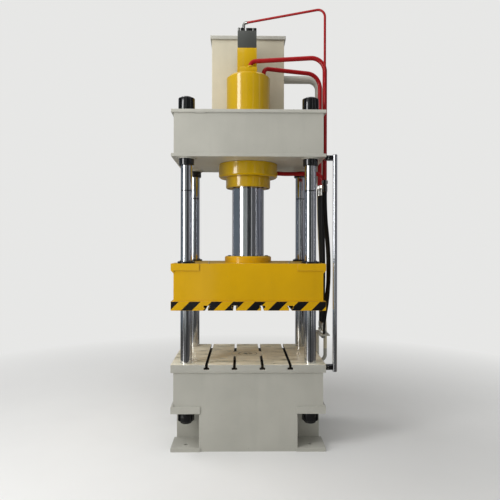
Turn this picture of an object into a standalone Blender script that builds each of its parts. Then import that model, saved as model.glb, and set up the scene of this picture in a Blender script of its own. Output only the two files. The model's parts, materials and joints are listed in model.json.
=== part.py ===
"""Four-column hydraulic press: bed, table, columns, crown, slider, main cylinder and piping.

Metres, +Z up, +X to the operator's right, +Y to the back. The origin is on the floor at the
centre of the four columns. Run with blender --background --python part.py.
"""

import math

import bmesh
import bpy
from mathutils import Vector

# Clearances and facet counts
SEAT_GAP = 0.0003
CUT_OVERRUN = 0.010
MERGE_DISTANCE = 0.00005
SEGMENTS_LARGE = 32
SEGMENTS_COLUMN = 20
SEGMENTS_SMALL = 12
TUBE_BEVEL_RESOLUTION = 2
BEVEL_LIMIT = math.radians(50)

# Plan of the three beams and the columns
BODY_INSET_X = 0.021
BODY_INSET_Y = 0.009
COLUMN_PITCH_X = 1.016
COLUMN_PITCH_Y = 0.700
PLATE_MARGIN_X = 0.117
PLATE_MARGIN_Y = 0.085
COLUMN_DIA = 0.095
CORNER_PLATE_WIDTH = 0.228
CORNER_PLATE_DEPTH = 0.240

# Heights of the stack
BED_HEIGHT = 0.635
TABLE_THICKNESS = 0.065
OPENING_AT_REST = 0.435
PLATEN_THICKNESS = 0.074
SLIDER_HEIGHT = 0.304
COLUMN_CLEAR_HEIGHT = 1.675
CROWN_HEIGHT = 0.380

# Bed weldment
BED_WALL = 0.018
BED_RIB_HALF_SPACING = 0.190
BED_FLOOR = 0.030
POCKET_HEIGHT = 0.305
BED_CORNER_THICKNESS = 0.057
FLARE_HEIGHT = 0.022
FLARE_OVERLAP = 0.002
FOOT_THICKNESS = 0.030
ANCHOR_HOLE_DIA = 0.032
SIDE_PORT_SETBACK = 0.020
SIDE_PORT_DROP = 0.075

# T-slots of the table and the platen
SLOT_PITCH = 0.225
SLOT_COUNT = 4
SLOT_NECK_WIDTH = 0.022
SLOT_FOOT_WIDTH = 0.046
SLOT_FOOT_HEIGHT = 0.018
SLOT_DEPTH = 0.040

# Ejector in the middle of the table
EJECTOR_DISC_DIA = 0.288
EJECTOR_DISC_CHAMFER = 0.002
EJECTOR_ROD_DIA = 0.090
EJECTOR_BORE_DIA = 0.130
EJECTOR_HEAD_HEIGHT = 0.045
EJECTOR_STROKE = 0.200
EJECTOR_WALL = 0.035
EJECTOR_END_WALL = 0.035
EJECTOR_NECK = 0.060
EJECTOR_FLANGE_DIA = 0.350
EJECTOR_FLANGE_THICKNESS = 0.025
EJECTOR_VENT_DIA = 0.020

# Columns and their nuts
COLUMN_END_CHAMFER = 0.004
COLUMN_STUB = 0.020
COLUMN_TOP_STUB = 0.010
COLUMN_GROOVE_DEPTH = 0.0015
COLUMN_GROOVE_WIDTH = 0.005
COLUMN_GROOVE_DROP = 0.259
NUT_WALL = 0.020
NUT_CHAMFER = 0.004
UPPER_NUT_HEIGHT = 0.105
LOWER_NUT_HEIGHT = 0.074
NUT_SLOT_COUNT = 4
NUT_SLOT_WIDTH = 0.016
NUT_SLOT_DEPTH = 0.008
COLLAR_WALL = 0.014
COLLAR_HEIGHT = 0.054
COLUMN_PAD_WALL = 0.029
COLUMN_PAD_HEIGHT = 0.010

# Crown weldment
CROWN_PLATE = 0.025
CROWN_WALL = 0.020
CROWN_RIB_X = 0.270
CROWN_RIB_Y = 0.225
CROWN_WINDOW_DIA = 0.120
CROWN_WINDOW_SETBACK = 0.134
BRACKET_THICKNESS = 0.016
BRACKET_DROP = 0.150

# Slider weldment
SLIDER_TOP_PLATE = 0.040
SLIDER_WALL = 0.018
SLIDER_RIB_X = 0.250
SLIDER_RIB_Y = 0.215
SLIDER_CORNER_THICKNESS = 0.056
SLEEVE_WALL = 0.008
SLEEVE_FLANGE_RIM = 0.017
SLEEVE_FLANGE_THICKNESS = 0.016
SLEEVE_FLANGE_CHAMFER = 0.004

# Main cylinder and ram
RAM_DIA = 0.280
CYLINDER_BORE_DIA = 0.304
CYLINDER_DIA = 0.386
CYLINDER_RISE = 0.397
CYLINDER_TOP_CHAMFER = 0.018
CYLINDER_END_WALL = 0.080
CYLINDER_FLANGE_DIA = 0.520
CYLINDER_FLANGE_HEIGHT = 0.118
CYLINDER_FLANGE_CHAMFER = 0.012
GLAND_DIA = 0.392
GLAND_HEIGHT = 0.091
GLAND_CHAMFER = 0.006
VALVE_BORE_DIA = 0.110
STROKE_BELOW_REST = 0.125
PISTON_HEIGHT = 0.090
RAM_FOOT_DIA = 0.330
RAM_FOOT_HEIGHT = 0.022
RAM_FLANGE_DIA = 0.411
RAM_FLANGE_HEIGHT = 0.054
RAM_FLANGE_CHAMFER = 0.010
PORT_BOSS_DIA = 0.062
PORT_BOSS_LENGTH = 0.014
PORT_BLOCK_WIDTH = 0.150
PORT_BLOCK_HEIGHT = 0.048
PORT_BLOCK_FRONT_Y = -0.150

# Prefill valve and pilot block on the cylinder
PREFILL_WIDTH = 0.172
PREFILL_HEIGHT = 0.236
PREFILL_X = -0.012
PILOT_BLOCK_WIDTH = 0.166
PILOT_BLOCK_HEIGHT = 0.151
PILOT_COVER_WIDTH = 0.056
PILOT_COVER_HEIGHT = 0.048
PILOT_COVER_X = 0.008
BLOCK_BEVEL = 0.003
PREFILL_PIPE_DIA = 0.102
PREFILL_FLANGE_DIA = 0.150
PREFILL_FLANGE_THICKNESS = 0.018
ELBOW_DIA = 0.026
ELBOW_BEND = 0.022
ELBOW_REACH = 0.036
ELBOW_X = -0.042

# Oil tank behind the cylinder
TANK_WIDTH = 0.673
TANK_DEPTH = 0.385
TANK_HEIGHT = 0.824
TANK_FRONT_Y = 0.215
TANK_WALL = 0.006
LID_OVERHANG = 0.015
LID_THICKNESS = 0.037

# Steel pipes
PIPE_DIA = 0.038
PIPE_BEND_RADIUS = 0.120
PIPE_PORT_BEND = 0.045
PILOT_PIPE_DIA = 0.020
PILOT_BEND_RADIUS = 0.070
TANK_PIPE_DIA = 0.074
TANK_PIPE_BEND = 0.100
TANK_PIPE_SETBACK = 0.185
TANK_PIPE_HEIGHT = 0.516
TANK_PIPE_OFFSET = 0.065
TANK_PIPE_END_DROP = 0.050
REDUCER_RIM = 0.015
REDUCER_CONE = 0.060
REDUCER_SPIGOT = 0.045
REDUCER_SPIGOT_DIA = 0.040
RETURN_DIA = 0.034
RETURN_BEND = 0.060
RETURN_STUB_OFFSET = 0.120
RETURN_STUB_RISE = 0.120
BEND_STEPS = 5
PIPE_END_DROP = 0.165
FRONT_PIPE_OFFSET = 0.020
FRONT_PIPE_Y = -0.235
FRONT_PIPE_LEVEL = 0.100
FRONT_PORT_X = 0.015
FRONT_PORT_Y = -0.125
REAR_PIPE_OFFSET = 0.037
REAR_PIPE_Y = 0.150
REAR_PIPE_LEVEL = 0.085
REAR_PORT_X = 0.137
LOWER_PIPE_OFFSET = 0.049
LOWER_PIPE_Y = 0.085
LOWER_PORT_ANGLE = math.radians(20.0)
LOWER_PORT_RUN = 0.090
LOWER_PIPE_BEND = 0.065
PILOT_PIPE_OFFSET = 0.011
PILOT_PIPE_Y = -0.290
PILOT_PIPE_RISE = 0.099

# Hoses and their fittings
HOSE_DIA = 0.038
PILOT_HOSE_DIA = 0.018
FERRULE_DIA = 0.046
FERRULE_LENGTH = 0.055
FITTING_NECK_DIA = 0.036
FITTING_NECK_LENGTH = 0.010
FITTING_NUT_DIA = 0.056
FITTING_NUT_LENGTH = 0.030
FITTING_SHANK_DIA = 0.033
FITTING_SHANK_LENGTH = 0.045
HOSE_SPACING_DIAMETERS = 3

# Bracket that carries the lower hose ends beside the table
SHELF_HEIGHT = 0.862
SHELF_THICKNESS = 0.012
SHELF_WIDTH = 0.108
SHELF_FRONT_Y = 0.020
SHELF_LENGTH = 0.265
SHELF_PORT_OFFSET = 0.065
SHELF_PAD_BOTTOM = 0.400
SHELF_PAD_TOP = 0.560
TABLE_EDGE_CLEARANCE = 0.003
FRONT_HOSE_Y = 0.110
LOWER_HOSE_Y = 0.175
REAR_HOSE_Y = 0.240

# Round bar beside the right front column
BAR_DIA = 0.036
BAR_OFFSET_X = 0.077
BAR_SETBACK = 0.037
BAR_OVERHANG = 0.026
BAR_BRACKET_HEIGHT = 0.037
BAR_BRACKET_DEPTH = 0.050
BAR_CLAMP_SETBACK = 0.003

# Routes of the hoses, from the upper end to the lower end
FRONT_HOSE_ROUTE = [
    (0.645, -0.235, 2.1144), (0.645, -0.235, 2.040), (0.655, -0.214, 1.880), (0.675, -0.176, 1.740),
    (0.693, -0.130, 1.600), (0.706, -0.076, 1.450), (0.712, -0.018, 1.300), (0.708, 0.050, 1.180),
    (0.698, 0.096, 1.080), (0.690, 0.110, 1.000), (0.690, 0.110, 0.9576),
]
LOWER_HOSE_ROUTE = [
    (0.674, 0.085, 2.1144), (0.674, 0.085, 2.040), (0.677, 0.089, 1.880), (0.683, 0.099, 1.740),
    (0.689, 0.113, 1.600), (0.693, 0.128, 1.450), (0.695, 0.144, 1.300), (0.694, 0.159, 1.180),
    (0.692, 0.170, 1.080), (0.690, 0.175, 1.000), (0.690, 0.175, 0.9576),
]
REAR_HOSE_ROUTE = [
    (0.662, 0.150, 2.1144), (0.662, 0.150, 2.040), (0.666, 0.156, 1.880), (0.674, 0.168, 1.740),
    (0.681, 0.182, 1.600), (0.687, 0.198, 1.450), (0.691, 0.213, 1.300), (0.692, 0.226, 1.180),
    (0.691, 0.236, 1.080), (0.690, 0.240, 1.000), (0.690, 0.240, 0.9576),
]
PILOT_HOSE_ROUTE = [
    (0.636, -0.290, 2.2097), (0.636, -0.290, 2.140), (0.648, -0.270, 1.940), (0.669, -0.231, 1.780),
    (0.690, -0.182, 1.620), (0.705, -0.126, 1.460), (0.713, -0.066, 1.300), (0.711, -0.008, 1.150),
    (0.700, 0.040, 1.020), (0.690, 0.060, 0.910), (0.690, 0.060, 0.8623),
]
RETURN_HOSE_ROUTE = [
    (0.690, 0.400, 2.2194), (0.690, 0.400, 2.120), (0.692, 0.397, 1.960), (0.697, 0.390, 1.780),
    (0.705, 0.381, 1.600), (0.715, 0.370, 1.420), (0.726, 0.358, 1.240), (0.736, 0.346, 1.060),
    (0.743, 0.336, 0.900), (0.745, 0.330, 0.760), (0.745, 0.330, 0.6803),
]

# Derived levels
TABLE_TOP = BED_HEIGHT + TABLE_THICKNESS
PLATEN_BOTTOM = TABLE_TOP + OPENING_AT_REST
SLIDER_BOTTOM = PLATEN_BOTTOM + PLATEN_THICKNESS
SLIDER_TOP = SLIDER_BOTTOM + SLIDER_HEIGHT
CROWN_BOTTOM = TABLE_TOP + COLUMN_CLEAR_HEIGHT
CROWN_TOP = CROWN_BOTTOM + CROWN_HEIGHT
CYLINDER_TOP = CROWN_TOP + CYLINDER_RISE
CYLINDER_MOUTH = CROWN_BOTTOM - CYLINDER_FLANGE_HEIGHT
BORE_TOP = CYLINDER_TOP - CYLINDER_END_WALL
PISTON_BOTTOM = CYLINDER_MOUTH + STROKE_BELOW_REST + SEAT_GAP
PREFILL_TOP = CYLINDER_TOP + PREFILL_HEIGHT
PILOT_BLOCK_TOP = PREFILL_TOP + PILOT_BLOCK_HEIGHT
TANK_TOP = CROWN_TOP + TANK_HEIGHT
POCKET_TOP = POCKET_HEIGHT + BED_CORNER_THICKNESS
PIPE_END = CROWN_BOTTOM - PIPE_END_DROP
SIDE_PORT_HEIGHT = BED_HEIGHT - SIDE_PORT_DROP

# Derived plan sizes
COLUMN_X = COLUMN_PITCH_X / 2
COLUMN_Y = COLUMN_PITCH_Y / 2
PLATE_HALF_X = COLUMN_X + PLATE_MARGIN_X
PLATE_HALF_Y = COLUMN_Y + PLATE_MARGIN_Y
BODY_HALF_X = PLATE_HALF_X - BODY_INSET_X
BODY_HALF_Y = PLATE_HALF_Y - BODY_INSET_Y
COLUMN_HOLE_DIA = COLUMN_DIA + 2 * SEAT_GAP
POCKET_X = PLATE_HALF_X - CORNER_PLATE_WIDTH
POCKET_Y = PLATE_HALF_Y - CORNER_PLATE_DEPTH
SLEEVE_DIA = COLUMN_HOLE_DIA + 2 * SLEEVE_WALL
BAR_X = PLATE_HALF_X + BAR_OFFSET_X
BAR_Y = BAR_SETBACK - PLATE_HALF_Y
SIDE_PORT_Y = COLUMN_Y - SIDE_PORT_SETBACK
TANK_PIPE_Y = TANK_FRONT_Y + TANK_PIPE_SETBACK
TANK_PIPE_X = PLATE_HALF_X + TANK_PIPE_OFFSET
RETURN_STUB_X = PLATE_HALF_X + RETURN_STUB_OFFSET
FRONT_PIPE_X = PLATE_HALF_X + FRONT_PIPE_OFFSET
REAR_PIPE_X = PLATE_HALF_X + REAR_PIPE_OFFSET
LOWER_PIPE_X = PLATE_HALF_X + LOWER_PIPE_OFFSET
PILOT_PIPE_X = PLATE_HALF_X + PILOT_PIPE_OFFSET
SHELF_PORT_X = PLATE_HALF_X + SHELF_PORT_OFFSET
CROWN_WINDOW_X = BODY_HALF_X - CROWN_WALL - CROWN_WINDOW_SETBACK

CORNERS = {
    "front_left": (-1, -1),
    "front_right": (1, -1),
    "rear_left": (-1, 1),
    "rear_right": (1, 1),
}


def clear_scene():
    """Remove whatever the opened file holds."""
    for obj in list(bpy.data.objects):
        bpy.data.objects.remove(obj, do_unlink=True)


def new_collection(name):
    """Make a collection and link it to the scene."""
    collection = bpy.data.collections.new(name)
    bpy.context.scene.collection.children.link(collection)
    return collection


clear_scene()
PARTS = new_collection("hydraulic_press")
CUTTERS = new_collection("cutters")


def new_material(name, colour, roughness, metallic):
    """Principled material with a plain colour."""
    material = bpy.data.materials.new(name)
    material.use_nodes = True
    shader = material.node_tree.nodes["Principled BSDF"]
    shader.inputs["Base Color"].default_value = (*colour, 1.0)
    shader.inputs["Roughness"].default_value = roughness
    shader.inputs["Metallic"].default_value = metallic
    return material


FRAME_PAINT = new_material("frame_paint", (0.62, 0.60, 0.53), 0.45, 0.0)
YELLOW_PAINT = new_material("yellow_paint", (0.80, 0.44, 0.01), 0.35, 0.0)
RED_PAINT = new_material("red_paint", (0.50, 0.02, 0.03), 0.35, 0.0)
CHROME = new_material("chrome", (0.62, 0.63, 0.65), 0.12, 1.0)
GROUND_STEEL = new_material("ground_steel", (0.50, 0.48, 0.43), 0.35, 1.0)
BLACK_STEEL = new_material("black_steel", (0.02, 0.02, 0.022), 0.45, 0.6)
GREY_BLOCK = new_material("grey_block", (0.10, 0.105, 0.105), 0.5, 0.0)
ZINC = new_material("zinc_steel", (0.62, 0.62, 0.60), 0.3, 1.0)
BLACK_RUBBER = new_material("black_rubber", (0.015, 0.015, 0.015), 0.6, 0.0)
CREAM_HOSE = new_material("cream_hose", (0.66, 0.60, 0.46), 0.5, 0.0)


def add_part(name, data, material, location=(0, 0, 0), rotation=(0, 0, 0)):
    """Make a named sub-part from a mesh or a curve."""
    obj = bpy.data.objects.new(name, data)
    PARTS.objects.link(obj)
    data.materials.append(material)
    obj.location = location
    obj.rotation_euler = rotation
    return obj


def add_cutter(name, data, location=(0, 0, 0), rotation=(0, 0, 0)):
    """Make a helper object that a Boolean reads and the build leaves out."""
    obj = bpy.data.objects.new(name, data)
    CUTTERS.objects.link(obj)
    obj.location = location
    obj.rotation_euler = rotation
    obj.hide_render = True
    obj.display_type = "WIRE"
    return obj


def clear_hole(diameter, segments):
    """Diameter of a faceted hole whose flats clear a round tube of any facet count."""
    return (diameter + 2 * SEAT_GAP) / math.cos(math.pi / segments)


def box_mesh(name, size):
    """Box centred on its own origin."""
    mesh = bpy.data.meshes.new(name)
    bm = bmesh.new()
    bmesh.ops.create_cube(bm, size=1.0)
    bmesh.ops.scale(bm, vec=Vector(size), verts=bm.verts)
    bm.to_mesh(mesh)
    bm.free()
    return mesh


def middle(low, high):
    """Point halfway between two corners."""
    return [(a + b) / 2 for a, b in zip(low, high)]


def span(low, high):
    """Edge lengths between two corners."""
    return [b - a for a, b in zip(low, high)]


def box_part(name, low, high, material):
    """Box sub-part between two corners."""
    return add_part(name, box_mesh(name, span(low, high)), material, middle(low, high))


def box_cutter(name, low, high):
    """Box helper between two corners."""
    return add_cutter(name, box_mesh(name, span(low, high)), middle(low, high))


def disc_mesh(name, diameter, height, segments):
    """Upright cylinder whose origin is at its lower face."""
    mesh = bpy.data.meshes.new(name)
    bm = bmesh.new()
    bmesh.ops.create_cone(bm, cap_ends=True, segments=segments, radius1=diameter / 2,
                          radius2=diameter / 2, depth=height)
    bmesh.ops.translate(bm, vec=Vector((0, 0, height / 2)), verts=bm.verts)
    bm.to_mesh(mesh)
    bm.free()
    return mesh


def disc_cutter(name, diameter, height, base, segments, rotation=(0, 0, 0)):
    """Cylinder helper that stands on a base point."""
    return add_cutter(name, disc_mesh(name, diameter, height, segments), base, rotation)


def combine(target, helper, operation):
    """Join a helper to a part, or cut it away."""
    modifier = target.modifiers.new(helper.name, "BOOLEAN")
    modifier.operation = operation
    modifier.solver = "EXACT"
    modifier.object = helper


def join(target, helper):
    """Weld a helper to a part."""
    combine(target, helper, "UNION")


def cut(target, helper):
    """Cut a helper out of a part."""
    combine(target, helper, "DIFFERENCE")


def chamfer(target, width):
    """Bevel the sharp edges of a part."""
    modifier = target.modifiers.new("edges", "BEVEL")
    modifier.width = width
    modifier.segments = 1
    modifier.limit_method = "ANGLE"
    modifier.angle_limit = BEVEL_LIMIT


def screw(obj, segments):
    """Turn a profile in the XZ plane round Z."""
    modifier = obj.modifiers.new("turned", "SCREW")
    modifier.axis = "Z"
    modifier.angle = math.tau
    modifier.steps = segments
    modifier.render_steps = segments
    modifier.use_merge_vertices = True
    modifier.merge_threshold = MERGE_DISTANCE
    modifier.use_smooth_shade = True


def profile_mesh(name, profile, closed):
    """Wire of radius and height pairs, outer side from top to bottom."""
    mesh = bpy.data.meshes.new(name)
    bm = bmesh.new()
    verts = [bm.verts.new((radius, 0, height)) for radius, height in profile]
    for first, second in zip(verts, verts[1:]):
        bm.edges.new((first, second))
    if closed:
        bm.edges.new((verts[-1], verts[0]))
    bm.to_mesh(mesh)
    bm.free()
    return mesh


def turned_part(name, profile, material, location, segments, closed=True, rotation=(0, 0, 0)):
    """Turned sub-part; a closed profile is a ring, an open one ends on the axis."""
    obj = add_part(name, profile_mesh(name, profile, closed), material, location, rotation)
    screw(obj, segments)
    return obj


def outline_mesh(name, points, thickness):
    """Flat outline in XY, extruded by its thickness along Z and made a mesh."""
    curve = bpy.data.curves.new(name, "CURVE")
    curve.dimensions = "2D"
    curve.fill_mode = "BOTH"
    curve.extrude = thickness / 2
    spline = curve.splines.new("POLY")
    spline.points.add(len(points) - 1)
    for point, (x, y) in zip(spline.points, points):
        point.co = (x, y, 0, 1)
    spline.use_cyclic_u = True
    holder = bpy.data.objects.new(name, curve)
    bpy.context.scene.collection.objects.link(holder)
    graph = bpy.context.evaluated_depsgraph_get()
    mesh = bpy.data.meshes.new_from_object(holder.evaluated_get(graph))
    bpy.data.objects.remove(holder, do_unlink=True)
    bm = bmesh.new()
    bm.from_mesh(mesh)
    bmesh.ops.remove_doubles(bm, verts=bm.verts, dist=MERGE_DISTANCE)
    bmesh.ops.recalc_face_normals(bm, faces=bm.faces)
    bm.to_mesh(mesh)
    bm.free()
    return mesh


UPRIGHT_ALONG_Y = (math.pi / 2, 0, 0)


def upright_cutter(name, points, length, centre_y):
    """Outline of X and Z pairs, extruded along Y about a centre."""
    return add_cutter(name, outline_mesh(name, points, length), (0, centre_y, 0), UPRIGHT_ALONG_Y)


def corner_plate(target, name, sides, inner_x, depth, outer_level, edge_level, flare_level):
    """Thick plate at a corner, and its flare against the body's side wall."""
    side, end = sides
    inner, edge = side * inner_x, side * PLATE_HALF_X
    near, far = end * (PLATE_HALF_Y - depth), end * PLATE_HALF_Y
    low = (min(inner, edge), min(near, far), min(outer_level, edge_level))
    high = (max(inner, edge), max(near, far), max(outer_level, edge_level))
    join(target, box_cutter(name + "_plate", low, high))
    body = side * BODY_HALF_X
    sunk = side * (BODY_HALF_X - FLARE_OVERLAP)
    centre = (outer_level + edge_level) / 2
    outline = [(sunk, centre), (edge, centre), (edge, edge_level), (body, flare_level), (sunk, flare_level)]
    join(target, upright_cutter(name + "_flare", outline, depth, (near + far) / 2))


def bed():
    """Welded bed: a box with ribs, cut away at the lower corners for the column nuts."""
    half_x = BODY_HALF_X
    half_y = BODY_HALF_Y
    step = POCKET_HEIGHT + BED_CORNER_THICKNESS / 2
    obj = box_part("bed", (-half_x, -half_y, step), (half_x, half_y, BED_HEIGHT), FRAME_PAINT)
    join(obj, box_cutter("bed_long_box", (-POCKET_X, -half_y, 0), (POCKET_X, half_y, step)))
    join(obj, box_cutter("bed_side_box", (-half_x, -POCKET_Y, 0), (half_x, POCKET_Y, step)))
    for name, (sx, sy) in CORNERS.items():
        corner_plate(obj, "bed_corner_" + name, (sx, sy), POCKET_X - BED_WALL / 2,
                     CORNER_PLATE_DEPTH + BED_WALL / 2, POCKET_HEIGHT, POCKET_TOP,
                     POCKET_TOP + FLARE_HEIGHT)
        foot_low = (min(sx * POCKET_X, sx * PLATE_HALF_X), min(sy * POCKET_Y, sy * PLATE_HALF_Y), 0)
        foot_high = (max(sx * POCKET_X, sx * PLATE_HALF_X), max(sy * POCKET_Y, sy * PLATE_HALF_Y),
                     FOOT_THICKNESS)
        inner_x = foot_low[0] - BED_WALL / 2 if sx > 0 else foot_low[0]
        outer_x = foot_high[0] + BED_WALL / 2 if sx < 0 else foot_high[0]
        inner_y = foot_low[1] - BED_WALL / 2 if sy > 0 else foot_low[1]
        outer_y = foot_high[1] + BED_WALL / 2 if sy < 0 else foot_high[1]
        join(obj, box_cutter("bed_foot_" + name, (inner_x, inner_y, 0), (outer_x, outer_y, foot_high[2])))
    for name, low, high in bed_cells():
        cut(obj, box_cutter("bed_cell_" + name, low, high))
    for name, (sx, sy) in CORNERS.items():
        cut(obj, disc_cutter("bed_column_hole_" + name, COLUMN_HOLE_DIA,
                             BED_CORNER_THICKNESS + 2 * CUT_OVERRUN,
                             (sx * COLUMN_X, sy * COLUMN_Y, POCKET_HEIGHT - CUT_OVERRUN),
                             SEGMENTS_COLUMN))
        cut(obj, disc_cutter("bed_anchor_hole_" + name, ANCHOR_HOLE_DIA,
                             FOOT_THICKNESS + 2 * CUT_OVERRUN,
                             (sx * COLUMN_X, sy * COLUMN_Y, -CUT_OVERRUN), SEGMENTS_SMALL))
    port = clear_hole(RETURN_DIA, SEGMENTS_SMALL)
    cut(obj, disc_cutter("bed_side_port", port, BED_WALL + 2 * CUT_OVERRUN,
                         (half_x - BED_WALL - CUT_OVERRUN, SIDE_PORT_Y, SIDE_PORT_HEIGHT),
                         SEGMENTS_SMALL, (0, math.pi / 2, 0)))
    return obj


def bed_cells():
    """Hollows between the ribs of the bed, open at the top and closed by the table."""
    top = BED_HEIGHT + CUT_OVERRUN
    wall = BED_WALL
    rib = BED_RIB_HALF_SPACING
    long_x = POCKET_X - wall
    outer_y = BODY_HALF_Y - wall
    x_bands = [("left", -long_x, -rib - wall), ("middle", -rib, rib), ("right", rib + wall, long_x)]
    y_bands = [("front", -outer_y, -rib - wall), ("centre", -rib, rib), ("rear", rib + wall, outer_y)]
    cells = []
    for x_name, x_low, x_high in x_bands:
        for y_name, y_low, y_high in y_bands:
            cells.append((y_name + "_" + x_name, (x_low, y_low, BED_FLOOR), (x_high, y_high, top)))
    side_low = POCKET_X
    side_high = BODY_HALF_X - wall
    inner_y = POCKET_Y - wall
    for name, sx in (("left", -1), ("right", 1)):
        low_x, high_x = sorted((sx * side_low, sx * side_high))
        cells.append(("side_" + name, (low_x, -inner_y, BED_FLOOR), (high_x, inner_y, top)))
    for name, (sx, sy) in CORNERS.items():
        low_x, high_x = sorted((sx * side_low, sx * side_high))
        low_y, high_y = sorted((sy * POCKET_Y, sy * outer_y))
        cells.append(("corner_" + name, (low_x, low_y, POCKET_TOP), (high_x, high_y, top)))
    return cells


def slot_centres():
    """X places of the T-slots."""
    first = -SLOT_PITCH * (SLOT_COUNT - 1) / 2
    return [first + SLOT_PITCH * index for index in range(SLOT_COUNT)]


def slot_outline(centre, face, inward):
    """T section from the open face; inward is -1 when the slot goes down and 1 when up."""
    neck = SLOT_NECK_WIDTH / 2
    foot = SLOT_FOOT_WIDTH / 2
    mouth = face - inward * CUT_OVERRUN
    shoulder = face + inward * (SLOT_DEPTH - SLOT_FOOT_HEIGHT)
    floor = face + inward * SLOT_DEPTH
    return [
        (centre - neck, mouth), (centre - neck, shoulder), (centre - foot, shoulder),
        (centre - foot, floor), (centre + foot, floor), (centre + foot, shoulder),
        (centre + neck, shoulder), (centre + neck, mouth),
    ]


def slotted_plate(name, low_z, high_z, face, inward, hole_dia, material):
    """Thick plate with front-to-back T-slots and a hole at each column."""
    obj = box_part(name, (-PLATE_HALF_X, -PLATE_HALF_Y, low_z), (PLATE_HALF_X, PLATE_HALF_Y, high_z),
                   material)
    for index, centre in enumerate(slot_centres()):
        outline = slot_outline(centre, face, inward)
        length = 2 * (PLATE_HALF_Y + CUT_OVERRUN)
        cut(obj, upright_cutter(name + "_slot_" + str(index), outline, length, 0))
    for corner, (sx, sy) in CORNERS.items():
        cut(obj, disc_cutter(name + "_hole_" + corner, hole_dia, high_z - low_z + 2 * CUT_OVERRUN,
                             (sx * COLUMN_X, sy * COLUMN_Y, low_z - CUT_OVERRUN), SEGMENTS_COLUMN))
    return obj


def table():
    """Table plate with upward T-slots and the ejector's opening."""
    low = BED_HEIGHT + SEAT_GAP
    obj = slotted_plate("table_plate", low, TABLE_TOP, TABLE_TOP, -1, COLUMN_HOLE_DIA, GROUND_STEEL)
    cut(obj, disc_cutter("table_ejector_hole", EJECTOR_DISC_DIA + 2 * SEAT_GAP,
                         TABLE_THICKNESS + 2 * CUT_OVERRUN, (0, 0, low - CUT_OVERRUN),
                         SEGMENTS_LARGE))


def ejector():
    """Ejector cylinder under the table and the disc, rod and piston that rise from it."""
    flange_top = BED_HEIGHT
    bore_top = flange_top - EJECTOR_NECK
    head_bottom = bore_top - EJECTOR_STROKE - EJECTOR_HEAD_HEIGHT - CUT_OVERRUN
    bore_bottom = head_bottom - SEAT_GAP
    bottom = bore_bottom - EJECTOR_END_WALL
    bore = EJECTOR_BORE_DIA / 2
    outer = bore + EJECTOR_WALL
    rod = EJECTOR_ROD_DIA / 2
    neck = rod + SEAT_GAP
    vent = EJECTOR_VENT_DIA / 2
    flange = EJECTOR_FLANGE_DIA / 2
    turned_part("ejector_cylinder", [
        (flange, flange_top), (flange, flange_top - EJECTOR_FLANGE_THICKNESS),
        (outer, flange_top - EJECTOR_FLANGE_THICKNESS), (outer, bottom), (vent, bottom),
        (vent, bore_bottom), (bore, bore_bottom), (bore, bore_top), (neck, bore_top),
        (neck, flange_top),
    ], BLACK_STEEL, (0, 0, 0), SEGMENTS_LARGE)
    disc = EJECTOR_DISC_DIA / 2
    edge = EJECTOR_DISC_CHAMFER
    head = bore - SEAT_GAP
    disc_bottom = BED_HEIGHT + SEAT_GAP
    turned_part("ejector", [
        (0, TABLE_TOP), (disc - edge, TABLE_TOP), (disc, TABLE_TOP - edge), (disc, disc_bottom),
        (rod, disc_bottom), (rod, head_bottom + EJECTOR_HEAD_HEIGHT),
        (head, head_bottom + EJECTOR_HEAD_HEIGHT), (head, head_bottom), (0, head_bottom),
    ], GROUND_STEEL, (0, 0, 0), SEGMENTS_LARGE, closed=False)


def ring_profile(inner, outer, low, high, edge):
    """Section of a ring with its lower outer edge chamfered."""
    return [(outer, high), (outer, low + edge), (outer - edge, low), (inner, low), (inner, high)]


def slotted_nut(name, place, low, height):
    """Round nut with spanner slots down its side."""
    inner = COLUMN_DIA / 2 + SEAT_GAP
    outer = COLUMN_DIA / 2 + NUT_WALL
    edge = NUT_CHAMFER
    profile = [
        (outer - edge, height), (outer, height - edge), (outer, edge), (outer - edge, 0),
        (inner, 0), (inner, height),
    ]
    obj = turned_part(name, profile, BLACK_STEEL, (*place, low), SEGMENTS_COLUMN)
    for index in range(NUT_SLOT_COUNT):
        angle = math.tau * (index + 0.5) / NUT_SLOT_COUNT
        reach = outer - NUT_SLOT_DEPTH / 2 + CUT_OVERRUN / 2
        size = (NUT_SLOT_DEPTH + CUT_OVERRUN, NUT_SLOT_WIDTH, height + 2 * CUT_OVERRUN)
        centre = (place[0] + reach * math.cos(angle), place[1] + reach * math.sin(angle),
                  low + height / 2)
        helper = name + "_slot_" + str(index)
        cut(obj, add_cutter(helper, box_mesh(helper, size), centre, (0, 0, angle)))


def column(name, place):
    """Chromed column with chamfered ends and a ring groove under the crown."""
    radius = COLUMN_DIA / 2
    edge = COLUMN_END_CHAMFER
    low = POCKET_HEIGHT - LOWER_NUT_HEIGHT - COLUMN_STUB
    high = CROWN_TOP + UPPER_NUT_HEIGHT + COLUMN_TOP_STUB
    groove = CROWN_BOTTOM - COLUMN_GROOVE_DROP
    half_groove = COLUMN_GROOVE_WIDTH / 2
    profile = [
        (0, high), (radius - edge, high), (radius, high - edge),
        (radius, groove + half_groove), (radius - COLUMN_GROOVE_DEPTH, groove + half_groove),
        (radius - COLUMN_GROOVE_DEPTH, groove - half_groove), (radius, groove - half_groove),
        (radius, low + edge), (radius - edge, low), (0, low),
    ]
    turned_part("column_" + name, profile, CHROME, (*place, 0), SEGMENTS_COLUMN, closed=False)


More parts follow.
